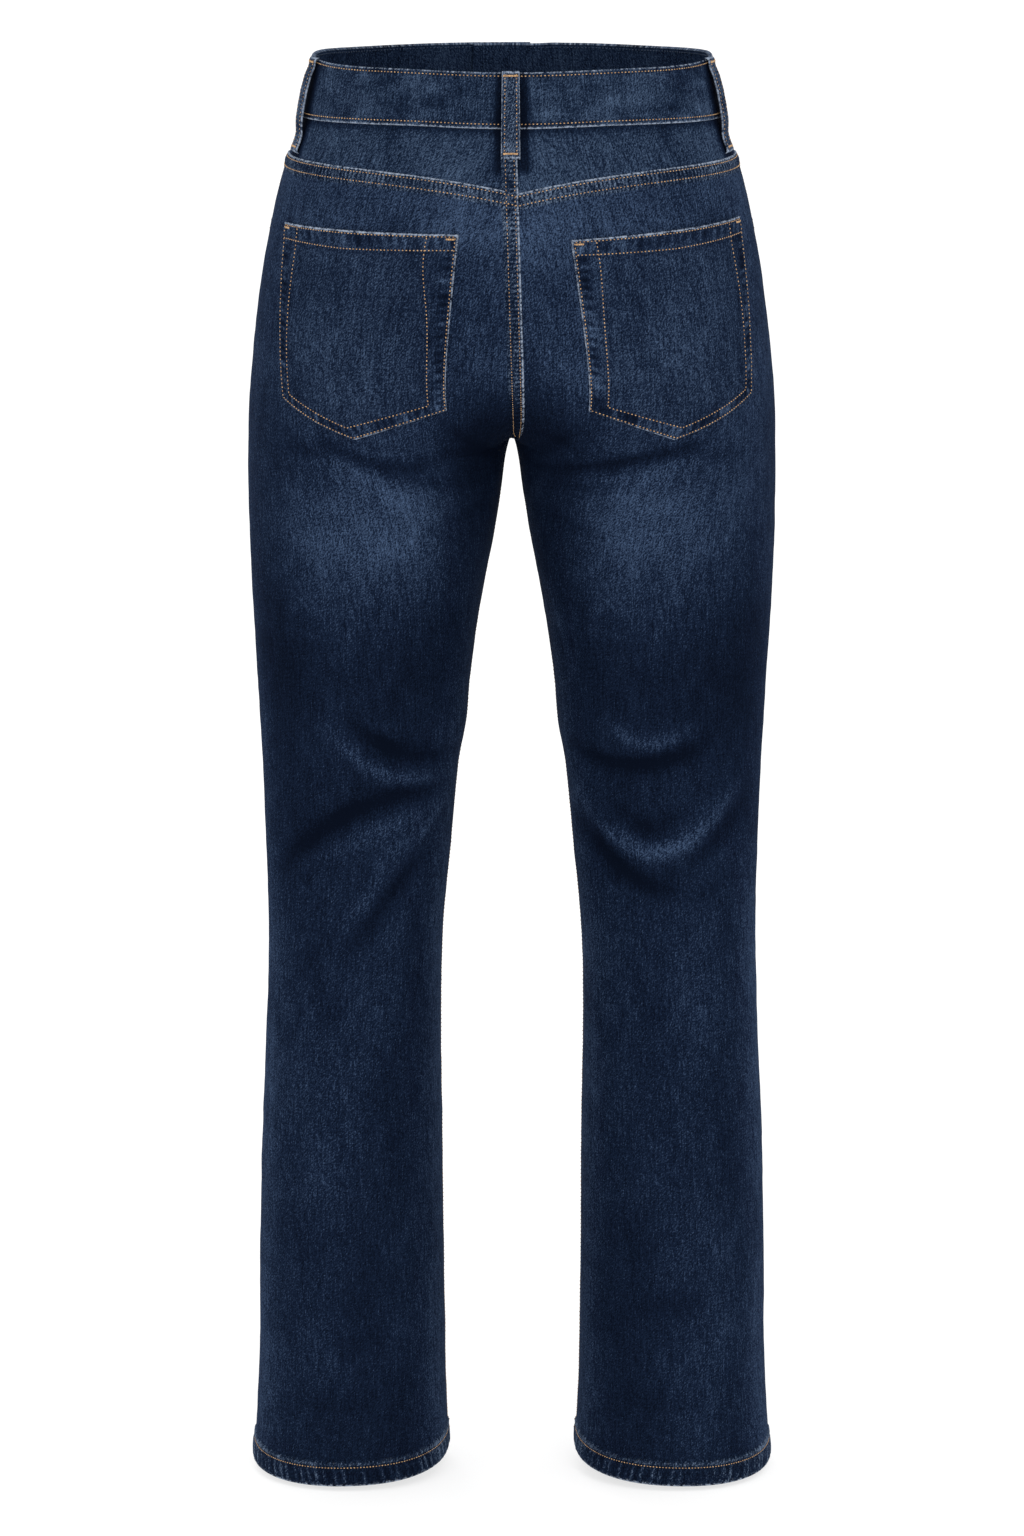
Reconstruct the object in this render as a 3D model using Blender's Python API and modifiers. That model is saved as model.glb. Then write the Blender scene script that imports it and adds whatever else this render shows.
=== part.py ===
"""Bootcut blue jeans, filled out as if worn, with nobody in them.

Metres, Z up. The wearer faces -Y, so the wearer's left is +X and the seat faces +Y.
The origin is the middle of the waist, halfway up the waistband at the sides.

The cloth is one smooth skin, worked out from a table of sections. A place on it is given by its
height z and by q, which runs round one leg side: -1 is the front centre seam or inseam, 0 is the
outseam, and 1 is the back centre seam or inseam. Each cut piece is a wall on its own patch of the skin.
"""

import math
from collections import namedtuple

import bmesh
import bpy
import numpy as np
from mathutils import Matrix, Vector

LEFT, RIGHT = 1, -1

# Driving sizes, in metres
RIM_Z = 0.021
HEM_Z = -1.0472
HEM_TILT = 0.0035
CROTCH_Z = -0.2605
DENIM = 0.0016
SEAM_GAP = 0.00032
HALF_GAP = SEAM_GAP / 2
LAP_WIDTH = 0.0105
LAP_RISE = 0.0009
LAP_EASE = 0.0015
HEM_FOLD = 0.017
HEM_RISE = 0.0009
BAND_SEAM_Z = -0.0208
YOKE_SIDE_Z = -0.0485
YOKE_DIP = 0.0155
SCOOP_Q = 0.42
SCOOP_DEPTH = 0.078
FLY_WIDTH = 0.036
FLY_END_Z = -0.168
LOOP_WIDTH = 0.013
LOOP_THICKNESS = 0.0018
POCKET_GAP = 0.00075
FACING_DEPTH = 0.0030
OUTSEAM_FORWARD = 0.006
WAISTBAND_THICKNESS = 0.0030
WAISTBAND_PROUD = 0.0012
SECTION_POWER = 2.15
CROTCH_ROUNDING = 0.006

# The outline from the back and from the side. front and back are depths from the middle.
Profile = namedtuple("Profile", "z half_width front back")
PROFILE = (
    Profile(0.030, 0.1466, 0.0995, 0.0955),
    Profile(0.021, 0.1484, 0.1005, 0.0970),
    Profile(-0.021, 0.1568, 0.1060, 0.1050),
    Profile(-0.062, 0.1704, 0.1105, 0.1180),
    Profile(-0.114, 0.1824, 0.1135, 0.1320),
    Profile(-0.174, 0.1910, 0.1130, 0.1400),
    Profile(-0.234, 0.1957, 0.1070, 0.1350),
    Profile(-0.264, 0.1960, 0.1025, 0.1270),
    Profile(-0.325, 0.1958, 0.0980, 0.1100),
    Profile(-0.385, 0.1935, 0.0935, 0.0970),
    Profile(-0.446, 0.1899, 0.0880, 0.0840),
    Profile(-0.507, 0.1867, 0.0830, 0.0720),
    Profile(-0.569, 0.1844, 0.0780, 0.0670),
    Profile(-0.630, 0.1830, 0.0715, 0.0700),
    Profile(-0.692, 0.1844, 0.0675, 0.0745),
    Profile(-0.785, 0.1884, 0.0665, 0.0785),
    Profile(-0.879, 0.1907, 0.0680, 0.0800),
    Profile(-0.973, 0.1920, 0.0700, 0.0815),
    Profile(-1.036, 0.1955, 0.0725, 0.0835),
    Profile(-1.060, 0.1972, 0.0735, 0.0845),
)

# How far the inside of each leg stays from the middle, below the crotch.
Gap = namedtuple("Gap", "z inner")
LEG_GAP = (
    Gap(CROTCH_Z, 0.0060),
    Gap(-0.2795, 0.0083),
    Gap(-0.295, 0.0097),
    Gap(-0.325, 0.0137),
    Gap(-0.355, 0.0189),
    Gap(-0.385, 0.0243),
    Gap(-0.416, 0.0290),
    Gap(-0.446, 0.0324),
    Gap(-0.477, 0.0352),
    Gap(-0.507, 0.0405),
    Gap(-0.538, 0.0439),
    Gap(-0.569, 0.0466),
    Gap(-0.630, 0.0522),
    Gap(-0.692, 0.0542),
    Gap(-0.785, 0.0532),
    Gap(-0.926, 0.0519),
    Gap(-0.973, 0.0512),
    Gap(-1.036, 0.0491),
    Gap(-1.060, 0.0490),
)

# How far the two leg sides are parted above the crotch: 0 is one round ring, and 1 is two that touch.
Rise = namedtuple("Rise", "z back_split front_split rounding")
RISE = (
    Rise(0.030, 0.0, 0.0, 0.020),
    Rise(-0.060, 0.0, 0.0, 0.022),
    Rise(-0.100, 0.08, 0.0, 0.024),
    Rise(-0.135, 0.20, 0.04, 0.024),
    Rise(-0.168, 0.37, 0.14, 0.024),
    Rise(-0.200, 0.58, 0.34, 0.020),
    Rise(-0.228, 0.80, 0.64, 0.014),
    Rise(-0.242, 0.92, 0.84, 0.010),
    Rise(-0.252, 1.01, 0.99, 0.008),
    Rise(CROTCH_Z, 1.0632, 1.0632, CROTCH_ROUNDING),
)

# Folds on the back and on the front, as bent lines in x and z. A negative depth is a trough.
Fold = namedtuple("Fold", "x0 z0 x1 z1 x2 z2 depth width")
BACK_FOLDS = (
    Fold(0.008, -0.277, 0.064, -0.270, 0.145, -0.240, -0.0034, 0.009),
    Fold(-0.011, -0.276, -0.076, -0.270, -0.140, -0.245, -0.0034, 0.009),
    Fold(0.046, -0.312, 0.098, -0.284, 0.152, -0.254, 0.0018, 0.011),
    Fold(-0.040, -0.292, -0.100, -0.288, -0.155, -0.266, 0.0018, 0.011),
    Fold(0.036, -0.493, 0.094, -0.504, 0.123, -0.456, -0.0038, 0.008),
    Fold(0.041, -0.508, 0.111, -0.521, 0.142, -0.458, 0.0028, 0.009),
    Fold(0.054, -0.524, 0.134, -0.519, 0.175, -0.586, -0.0044, 0.009),
    Fold(0.054, -0.534, 0.114, -0.550, 0.166, -0.592, 0.0022, 0.010),
    Fold(0.054, -0.542, 0.096, -0.574, 0.124, -0.632, 0.0018, 0.008),
    Fold(0.060, -0.558, 0.090, -0.606, 0.118, -0.648, -0.0028, 0.009),
    Fold(-0.058, -0.456, -0.097, -0.492, -0.140, -0.462, 0.0020, 0.010),
    Fold(-0.038, -0.484, -0.090, -0.518, -0.150, -0.474, -0.0042, 0.009),
    Fold(-0.070, -0.516, -0.100, -0.574, -0.134, -0.520, -0.0026, 0.010),
    Fold(-0.045, -0.512, -0.108, -0.628, -0.179, -0.492, 0.0032, 0.009),
    Fold(-0.048, -0.538, -0.100, -0.644, -0.172, -0.526, -0.0042, 0.010),
)
FRONT_FOLDS = (
    Fold(0.014, -0.246, 0.070, -0.230, 0.130, -0.178, -0.0030, 0.010),
    Fold(-0.013, -0.249, -0.078, -0.236, -0.138, -0.190, -0.0032, 0.010),
    Fold(0.018, -0.268, 0.085, -0.268, 0.140, -0.246, -0.0024, 0.010),
    Fold(-0.020, -0.271, -0.076, -0.268, -0.128, -0.252, -0.0022, 0.010),
    Fold(0.046, -0.484, 0.105, -0.530, 0.168, -0.476, -0.0034, 0.010),
    Fold(0.050, -0.536, 0.110, -0.524, 0.172, -0.566, -0.0030, 0.010),
    Fold(-0.048, -0.496, -0.112, -0.492, -0.172, -0.540, -0.0034, 0.010),
    Fold(-0.054, -0.548, -0.104, -0.586, -0.160, -0.560, -0.0028, 0.011),
)


def smooth(table, name):
    """A smooth function of height through one column of a table."""
    rows = sorted(table, key=lambda row: row.z)
    z = np.array([row.z for row in rows])
    value = np.array([getattr(row, name) for row in rows])
    slope = np.gradient(value, z)

    def at(height):
        height = np.clip(height, z[0], z[-1])
        i = np.clip(np.searchsorted(z, height) - 1, 0, len(z) - 2)
        span = z[i + 1] - z[i]
        t = (height - z[i]) / span
        start = (1 + 2 * t) * (1 - t) ** 2 * value[i] + t * (1 - t) ** 2 * span * slope[i]
        end = t * t * (3 - 2 * t) * value[i + 1] - t * t * (1 - t) * span * slope[i + 1]
        return start + end

    return at


def ease(low, high, value):
    """0 below low, 1 above high, and a smooth step between."""
    t = np.clip((np.asarray(value, float) - low) / (high - low), 0, 1)
    return t * t * (3 - 2 * t)


half_width = smooth(PROFILE, "half_width")
front_depth = smooth(PROFILE, "front")
back_depth = smooth(PROFILE, "back")
leg_inner = smooth(LEG_GAP, "inner")
back_split = smooth(RISE, "back_split")
front_split = smooth(RISE, "front_split")
rounding_at = smooth(RISE, "rounding")

# The skin: rings at many heights, each with its points evenly spaced between the seams
STATIONS = 96
ARC_STEPS = 240


def quarter(z, depth, split):
    """Half of a ring at one height: from the side, t = 0, in to the centre line or the inseam."""
    width = half_width(z)
    if z >= CROTCH_Z:
        half = width / (1 + split)
        centre = width - half
        rounding = rounding_at(z)
        reach = (rounding - centre) / half
        last = math.acos(math.copysign(min(abs(reach), 1) ** (SECTION_POWER / 2), reach))
    else:
        half = (width - leg_inner(z)) / 2
        centre = width - half
        rounding = CROTCH_ROUNDING
        last = math.pi
    t = last * (1 - (1 - np.linspace(0, 1, ARC_STEPS)) ** 2)
    across, along = np.cos(t), np.sin(t)
    x = centre + half * np.sign(across) * np.abs(across) ** (2 / SECTION_POWER)
    y = depth * np.abs(along) ** (2 / SECTION_POWER)
    return np.sqrt(np.maximum(x * x - rounding * rounding, 0)), y


def half_ring(z):
    """One height's ring on the left: 2 * STATIONS + 1 points from q = -1 to q = 1, and its two lengths."""
    front_x, front_y = quarter(z, -front_depth(z), front_split(z))
    back_x, back_y = quarter(z, back_depth(z), back_split(z))
    x = np.concatenate([front_x[::-1], back_x[1:]])
    y = np.concatenate([front_y[::-1], back_y[1:]])
    run = np.concatenate([[0], np.cumsum(np.hypot(np.diff(x), np.diff(y)))])
    outseam = run[ARC_STEPS - 1] - OUTSEAM_FORWARD
    stops = np.concatenate(
        [np.linspace(0, outseam, STATIONS + 1), np.linspace(outseam, run[-1], STATIONS + 1)[1:]]
    )
    points = np.stack([np.interp(stops, run, x), np.interp(stops, run, y)], axis=1)
    return points, outseam, run[-1] - outseam


def heights():
    """Heights of the rings, closer together near the crotch."""
    near = CROTCH_Z + 0.02 * np.linspace(0, 1, 25) ** 2
    below = CROTCH_Z - 1e-6 - 0.02 * np.linspace(0, 1, 25) ** 2
    above = np.arange(CROTCH_Z + 0.022, RIM_Z + 0.008, 0.002)
    legs = np.arange(CROTCH_Z - 0.022, HEM_Z - 0.010, -0.002)
    return np.sort(np.concatenate([near, below, above, legs]))


HEIGHTS = heights()
RINGS = [half_ring(z) for z in HEIGHTS]
RING_POINTS = np.array([ring[0] for ring in RINGS])
FRONT_LENGTH = np.array([ring[1] for ring in RINGS])
BACK_LENGTH = np.array([ring[2] for ring in RINGS])


def front_length(z):
    return np.interp(z, HEIGHTS, FRONT_LENGTH)


def back_length(z):
    return np.interp(z, HEIGHTS, BACK_LENGTH)


def skin(q, z):
    """Points of the left half of the skin. Past a centre seam it goes on over the other half, and past an inseam round the leg."""
    q, z = np.broadcast_arrays(np.asarray(q, float), np.asarray(z, float))
    past = np.abs(q) > 1
    above = z >= CROTCH_Z
    turned = np.where(past, np.where(above, 2 * np.sign(q) - q, q - 2 * np.sign(q)), q)
    mirrored = np.where(past & above, -1.0, 1.0)
    row = np.clip(np.searchsorted(HEIGHTS, z) - 1, 0, len(HEIGHTS) - 2)
    up = ((z - HEIGHTS[row]) / (HEIGHTS[row + 1] - HEIGHTS[row]))[..., None]
    place = (np.clip(turned, -1, 1) + 1) * STATIONS
    left = np.clip(place.astype(int), 0, 2 * STATIONS - 1)
    along = (place - left)[..., None]
    low = RING_POINTS[row, left] * (1 - along) + RING_POINTS[row, left + 1] * along
    high = RING_POINTS[row + 1, left] * (1 - along) + RING_POINTS[row + 1, left + 1] * along
    flat = low * (1 - up) + high * up
    return np.stack([flat[..., 0] * mirrored, flat[..., 1], z], axis=-1)


def skin_normal(q, z, step_q=0.012, step_z=0.003):
    """Outward directions on the left half of the skin."""
    around = skin(q + step_q, z) - skin(q - step_q, z)
    upward = skin(q, z + step_z) - skin(q, z - step_z)
    normal = np.cross(around, upward)
    normal /= np.linalg.norm(normal, axis=-1, keepdims=True)
    below = np.exp(-(((1 - np.abs(q)) / 0.03) ** 2) - ((z - CROTCH_Z) / 0.004) ** 2)[..., None]
    normal = normal * (1 - below) + np.array([0.0, 0.0, -1.0]) * below
    return normal / np.linalg.norm(normal, axis=-1, keepdims=True)


def fold_relief(x, z, folds):
    """How far a set of folds lifts the cloth at x and z."""
    lift = np.zeros(np.shape(x))
    steps = np.linspace(0, 1, 13)
    for f in folds:
        bend = ((1 - steps) ** 2, 2 * steps * (1 - steps), steps**2)
        line_x = bend[0] * f.x0 + bend[1] * f.x1 + bend[2] * f.x2
        line_z = bend[0] * f.z0 + bend[1] * f.z1 + bend[2] * f.z2
        nearest = np.full(np.shape(x), 1e9)
        where = np.zeros(np.shape(x))
        for i in range(len(steps) - 1):
            run_x, run_z = line_x[i + 1] - line_x[i], line_z[i + 1] - line_z[i]
            share = ((x - line_x[i]) * run_x + (z - line_z[i]) * run_z) / (run_x**2 + run_z**2)
            share = np.clip(share, 0, 1)
            away = np.hypot(x - line_x[i] - share * run_x, z - line_z[i] - share * run_z)
            closer = away < nearest
            nearest = np.where(closer, away, nearest)
            where = np.where(closer, (i + share) / (len(steps) - 1), where)
        taper = np.sin(np.pi * np.clip(where, 0.0, 1.0)) ** 0.7
        lift += f.depth * taper * np.exp(-((nearest / f.width) ** 2))
    return lift


def cloth(side, q, z, out=0.0):
    """Points of the creased skin on one side, moved out by a distance."""
    point, normal = skin(q, z), skin_normal(q, z)
    x = point[..., 0] * side
    facing = normal[..., 1]
    lift = ease(-0.15, 0.35, facing) * fold_relief(x, point[..., 2], BACK_FOLDS)
    lift += ease(-0.15, 0.35, -facing) * fold_relief(x, point[..., 2], FRONT_FOLDS)
    moved = point + normal * (lift + out)[..., None]
    moved[..., 0] *= side
    return moved


def rim_z(q):
    """The waistband's top edge, a little higher at the sides and beside the back loop."""
    q = np.asarray(q, float)
    behind = 0.0012 * ease(0.1, 0.6, q) + 0.0012 * np.exp(-(((q - 0.6) / 0.25) ** 2))
    return RIM_Z + behind + 0.0034 * np.exp(-((q / 0.30) ** 2))


def band_z(q):
    """The waistband's lower seam."""
    q = np.asarray(q, float)
    return BAND_SEAM_Z + 0.0024 * ease(0.0, 0.5, q) + 0.0012 * np.exp(-(((q - 0.65) / 0.2) ** 2))


def yoke_z(q):
    """The yoke's lower seam, dipping at the back centre."""
    return YOKE_SIDE_Z - YOKE_DIP * np.abs(np.asarray(q, float)) ** 3.5


def scoop_z(q):
    """The top edge of a front leg: the waistband seam, then the scoop of the pocket opening."""
    share = np.clip(np.abs(np.asarray(q, float)) / SCOOP_Q, 0, 1)
    return band_z(q) - SCOOP_DEPTH * (1 - share**2.2) ** 0.9


def hem_z(q):
    """The hem, a little lower at the outseam, and drawn up at both seams."""
    across = 1 - 2 * np.abs(np.asarray(q, float))
    return HEM_Z - HEM_TILT * across + 0.0085 * np.abs(across) ** 2.4


def centre_shift(z):
    """How far the centre seams stand to the wearer's right of the middle."""
    drop = np.clip((-0.04 - z) / 0.20, 0, 1)
    return (0.0036 + 0.0060 * drop) * ease(CROTCH_Z + 0.003, CROTCH_Z + 0.045, z)


def lap(distance, width, rise=LAP_RISE):
    """The rise of a folded edge, at a distance from that edge."""
    return rise * (1 - ease(width - LAP_EASE, width, distance))


def plain(name, colour, roughness, metallic=0.0):
    """A plain finish."""
    made = bpy.data.materials.new(name)
    made.use_nodes = True
    shader = made.node_tree.nodes["Principled BSDF"]
    shader.inputs["Base Color"].default_value = (*colour, 1)
    shader.inputs["Roughness"].default_value = roughness
    shader.inputs["Metallic"].default_value = metallic
    return made


def denim(name, colour=(0.020, 0.036, 0.078)):
    return plain(f"{name}_denim", colour, 0.88)


def smooth_shade(data, angle=40):
    data.shade_smooth()
    data.set_sharp_from_angle(angle=math.radians(angle))


def wall(name, outer, inner, finish):
    """A closed wall between two grids of points.

    Its edges follow the grids, so two neighbours stay parallel along a seam. Solidify would swing
    the edges of a coarse, round panel into the next one.
    """
    rows, columns = outer.shape[:2]
    mesh = bmesh.new()
    outside = [[mesh.verts.new(point) for point in row] for row in outer]
    inside = [[mesh.verts.new(point) for point in row] for row in inner]
    for i in range(rows - 1):
        for j in range(columns - 1):
            mesh.faces.new((outside[i][j], outside[i + 1][j], outside[i + 1][j + 1], outside[i][j + 1]))
            mesh.faces.new((inside[i][j], inside[i][j + 1], inside[i + 1][j + 1], inside[i + 1][j]))
    edge = [(0, j) for j in range(columns - 1)]
    edge += [(i, columns - 1) for i in range(rows - 1)]
    edge += [(rows - 1, j) for j in range(columns - 1, 0, -1)]
    edge += [(i, 0) for i in range(rows - 1, 0, -1)]
    for (i, j), (k, m) in zip(edge, edge[1:] + edge[:1]):
        mesh.faces.new((outside[i][j], outside[k][m], inside[k][m], inside[i][j]))
    bmesh.ops.triangulate(mesh, faces=mesh.faces[:])
    bmesh.ops.recalc_face_normals(mesh, faces=mesh.faces[:])
    data = bpy.data.meshes.new(name)
    mesh.to_mesh(data)
    mesh.free()
    smooth_shade(data)
    data.materials.append(finish)
    obj = bpy.data.objects.new(name, data)
    PARTS.objects.link(obj)
    return obj


def columns_of(side, z, length, fixed, count):
    """The q of each column at each height, from the outseam to the inner edge.

    fixed holds the columns that follow the inner edge, as distances from it.
    """
    reach = length(z)
    start = HALF_GAP / reach
    shift = np.where(z >= CROTCH_Z, centre_shift(z), 0.0) * side
    edge = 1 + (shift - HALF_GAP) / reach
    share = np.linspace(0, 1, count) ** 0.94
    last = edge[:, :1] - fixed[0] / reach[:, :1]
    q = start[:, :1] + (last - start[:, :1]) * share
    return np.hstack([q] + [edge[:, :1] - d / reach[:, :1] for d in fixed[1:]])


ABOVE_ROWS = 9
CROTCH_DROPS = ((0.003, 0.002), (0.010, 0.018), (0.022, 0.036), (0.042, 0.056), (0.070, 0.080), (0.104, 0.108))
LEG_ROWS = (
    -0.394, -0.424, -0.452, -0.472, -0.488, -0.502, -0.516, -0.530, -0.544, -0.558, -0.573,
    -0.590, -0.611, -0.640, -0.685, -0.750, -0.825, -0.900, -0.970, -1.010,
)


def leg_panel(name, side, front, finish):
    """One front or back leg, from its top seam to the hem.

    Near the crotch the rows close up on the inner edge, where the cloth turns sharply.
    """
    sign = -1 if front else 1
    length = front_length if front else back_length
    if front:
        fixed = (FLY_WIDTH, FLY_WIDTH - LAP_EASE, 0.016, 0.0)
    else:
        fixed = (LAP_WIDTH, LAP_WIDTH - LAP_EASE, 0.0)
    count = 12
    share = np.concatenate([np.linspace(0, 1, count) ** 0.94 * 0.90, np.linspace(0.92, 1, len(fixed) - 1)])
    q = share * sign
    top = (scoop_z(q) if front else yoke_z(q)) - HALF_GAP
    blend = ease(0.10, 1.0, share)
    rows = [top]
    if not front:
        rows += [top - LAP_WIDTH + LAP_EASE, top - LAP_WIDTH]
    start = rows[-1]
    power = 1 + 0.8 * blend
    low = CROTCH_Z + 0.010 * (1 - blend)
    for i in range(1, ABOVE_ROWS + 1):
        rows.append(low + (start - low) * (1 - i / ABOVE_ROWS) ** power)
    rows += [CROTCH_Z - (near * blend + far * (1 - blend)) for near, far in CROTCH_DROPS]
    rows += [np.full(share.shape, z) for z in LEG_ROWS]
    hem = hem_z(q)
    z = np.array(rows)
    z = z + ease(-0.70, -1.02, z) * (hem - HEM_Z)
    z = np.vstack([z, hem + HEM_FOLD + LAP_EASE, hem + HEM_FOLD, hem])
    around = columns_of(side, z, length, fixed, count)
    edge = around[:, -1:]
    away = (edge - around) * length(z)
    lift = lap(z - hem, HEM_FOLD + LAP_EASE, HEM_RISE)
    if side == LEFT and front:
        lift = np.maximum(lift, lap(away, FLY_WIDTH) * ease(FLY_END_Z - 0.004, FLY_END_Z + 0.014, z))
    if side == LEFT and not front:
        lift = np.maximum(lift, lap(away, LAP_WIDTH) * ease(CROTCH_Z + 0.012, CROTCH_Z + 0.050, z))
    if not front:
        lift = np.maximum(lift, lap(top - z, LAP_WIDTH))
    return wall(name, cloth(side, around * sign, z, lift), cloth(side, around * sign, z, -DENIM), finish)


def yoke(name, side, finish):
    """The upper piece of one side of the seat."""
    count, fixed = 12, (LAP_WIDTH, LAP_WIDTH - LAP_EASE, 0.0)
    share = np.concatenate([np.linspace(0, 1, count) ** 0.94 * 0.90, np.linspace(0.92, 1, len(fixed) - 1)])
    high, low = band_z(share) - HALF_GAP, yoke_z(share) + HALF_GAP
    z = np.array([high + (low - high) * step for step in (0, 0.34, 0.67, 1)])
    around = columns_of(side, z, back_length, fixed, count)
    lift = np.zeros(z.shape)
    if side == LEFT:
        lift = lap((around[:, -1:] - around) * back_length(z), LAP_WIDTH)
    return wall(name, cloth(side, around, z, lift), cloth(side, around, z, -DENIM), finish)


BAND_END = 0.014
BAND_TONGUE = 0.030
BAND_COLUMNS = 27


def waistband(finish):
    """The waistband. At the front its wearer's-left end lies over its wearer's-right end."""
    length = float(front_length(0.0))
    left_q = np.concatenate([[-1 - BAND_END / length], np.linspace(-1 + 0.03, 1, BAND_COLUMNS)])
    steps = np.array([0.044, 0.034, 0.026, 0.019, 0.006, -0.010, -BAND_TONGUE])
    right_q = np.concatenate([np.linspace(1, -1 + 0.055 / length, BAND_COLUMNS - 4)[1:], -1 + steps / length])
    drop = (WAISTBAND_THICKNESS + 0.00035) * ease(0.034, 0.018, (right_q + 1) * length)
    drop = np.where(right_q > 0, 0, drop)
    outer, inner = [], []
    for step in (0, 0.5, 1):
        row_out, row_in = [], []
        for side, q, sunk in ((LEFT, left_q, np.zeros(left_q.shape)), (RIGHT, right_q, drop)):
            z = rim_z(q) + (band_z(q) + HALF_GAP - rim_z(q)) * step
            row_out.append(cloth(side, q, z, WAISTBAND_PROUD - sunk))
            row_in.append(cloth(side, q, z, WAISTBAND_PROUD - WAISTBAND_THICKNESS - sunk))
        outer.append(np.concatenate(row_out))
        inner.append(np.concatenate(row_in))
    return wall("waistband", np.array(outer), np.array(inner), finish)


# A belt loop from its top to its foot: how far down it is, and how far its underside stands off.
Span = namedtuple("Span", "down stand_off")
LOOP_SPAN = (
    Span(0.00, 0.0000),
    Span(0.09, 0.0000),
    Span(0.20, 0.0021),
    Span(0.36, 0.0031),
    Span(0.52, 0.0030),
    Span(0.66, 0.0024),
    Span(0.80, 0.0000),
    Span(1.00, 0.0000),
)


def belt_loop(name, side, q, foot_z, foot_rise, finish):
    """A belt loop across the waistband, sewn at its top and, below the waistband, at its foot."""
    length = float(front_length(0.0) if q < 0 else back_length(0.0))
    top = float(rim_z(q)) - 0.0006
    across = q + np.array([-0.5, -0.17, 0.17, 0.5]) * LOOP_WIDTH / length
    outer, inner = [], []
    for span in LOOP_SPAN:
        z = np.full(across.shape, top + (foot_z - top) * span.down)
        face = WAISTBAND_PROUD if span.down < 0.75 else foot_rise
        under = face + 0.00040 + span.stand_off
        inner.append(cloth(side, across, z, under))
        outer.append(cloth(side, across, z, under + LOOP_THICKNESS))
    return wall(name, np.array(outer), np.array(inner), finish)


# A back pocket's edges: the q of its inner and outer edge at the top and bottom, and its heights.
Patch = namedtuple("Patch", "inner_top inner_low outer_top outer_low tip top_in top_out low_in low_out low_tip")
POCKETS = {
    LEFT: Patch(0.845, 0.825, 0.236, 0.366, 0.566, -0.0930, -0.0940, -0.2200, -0.2175, -0.2430),
    RIGHT: Patch(0.830, 0.795, 0.221, 0.317, 0.552, -0.0970, -0.0900, -0.2205, -0.2160, -0.2430),
}
POCKET_ROWS = (0, 0.085, 0.105, 0.20, 0.30, 0.40, 0.50, 0.60, 0.70, 0.80, 0.90, 1.0)
POCKET_HEM_RISE = 0.0006


def pocket_place(side, across, down):
    """The q and z of a place on a back pocket: across is 0 at its inner edge, down is 0 at its top."""
    p = POCKETS[side]
    inner = p.inner_top + (p.inner_low - p.inner_top) * down
    outer = p.outer_top + (p.outer_low - p.outer_top) * down
    tip_share = (p.inner_low - p.tip) / (p.inner_low - p.outer_low)
    q = inner + (outer - inner) * across
    top = p.top_in + (p.top_out - p.top_in) * across
    before = p.low_in + (p.low_tip - p.low_in) * across / tip_share
    after = p.low_tip + (p.low_out - p.low_tip) * (across - tip_share) / (1 - tip_share)
    low = np.where(across < tip_share, before, after)
    return q, top + (low - top) * down


def back_pocket(name, side, finish):
    """A patch pocket with a pointed foot, lying on a back leg."""
    p = POCKETS[side]
    tip_share = (p.inner_low - p.tip) / (p.inner_low - p.outer_low)
    across = np.concatenate([np.linspace(0, tip_share, 8), np.linspace(tip_share, 1, 8)[1:]])
    outer, inner = [], []
    for down in POCKET_ROWS:
        q, z = pocket_place(side, across, down)
        rise = POCKET_HEM_RISE if down < 0.1 else 0.0
        inner.append(cloth(side, q, z, POCKET_GAP))
        outer.append(cloth(side, q, z, POCKET_GAP + DENIM + rise))
    return wall(name, np.array(outer), np.array(inner), finish)


def pocket_facing(name, side, finish):
    """The cloth behind the scooped opening of a front pocket, level with the back leg at the outseam."""
    share = np.array([0.0, 0.05, 0.10, 0.20, 0.32, 0.46, 0.60, 0.76, 0.90, 1.0])
    length = float(front_length(-0.06))
    q = -(HALF_GAP / length + (0.50 - HALF_GAP / length) * share)
    high = band_z(q) - HALF_GAP
    low = scoop_z(q) - 0.020 - 0.012 * share
    z = np.array([high + (low - high) * step for step in (0, 0.18, 0.36, 0.54, 0.72, 0.86, 1)])
    around = np.broadcast_to(q, z.shape)
    clear = z - scoop_z(around)
    rise = FACING_DEPTH * ease(-0.075, -0.004, around) * ease(0.004, 0.020, clear)
    sunk = rise - FACING_DEPTH
    return wall(name, cloth(side, around, z, sunk), cloth(side, around, z, sunk - DENIM), finish)


def zip_tape(finish):
    """The closed zip behind the front edges, with the ridge of its teeth on the inside."""
    length = float(front_length(-0.09))
    across = np.array([-0.006, 0.0035, 0.0045, 0.0105, 0.0115, 0.021])
    ridge = np.array([0, 0, 0.0010, 0.0010, 0, 0])
    heights_down = np.linspace(BAND_SEAM_Z - 0.001, -0.156, 8)
    z = np.repeat(heights_down[:, None], len(across), axis=1)
    q = -1 + across / length + np.zeros(z.shape)
    return wall("zip_tape", cloth(LEFT, q, z, -0.0020), cloth(LEFT, q, z, -0.0028 - ridge), finish)


def frame_at(side, q, z, out):
    """A turn and a place on the skin: local Z points outwards and local Y up along the cloth."""
    q, z = np.array([q]), np.array([z])
    point = cloth(side, q, z, out)[0]
    normal = skin_normal(q, z)[0] * np.array([side, 1, 1])
    upward = np.array([0.0, 0.0, 1.0]) - normal * normal[2]
    upward /= np.linalg.norm(upward)
    turn = Matrix((np.cross(upward, normal), upward, normal)).transposed()
    return turn.to_4x4(), Vector(point)


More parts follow.
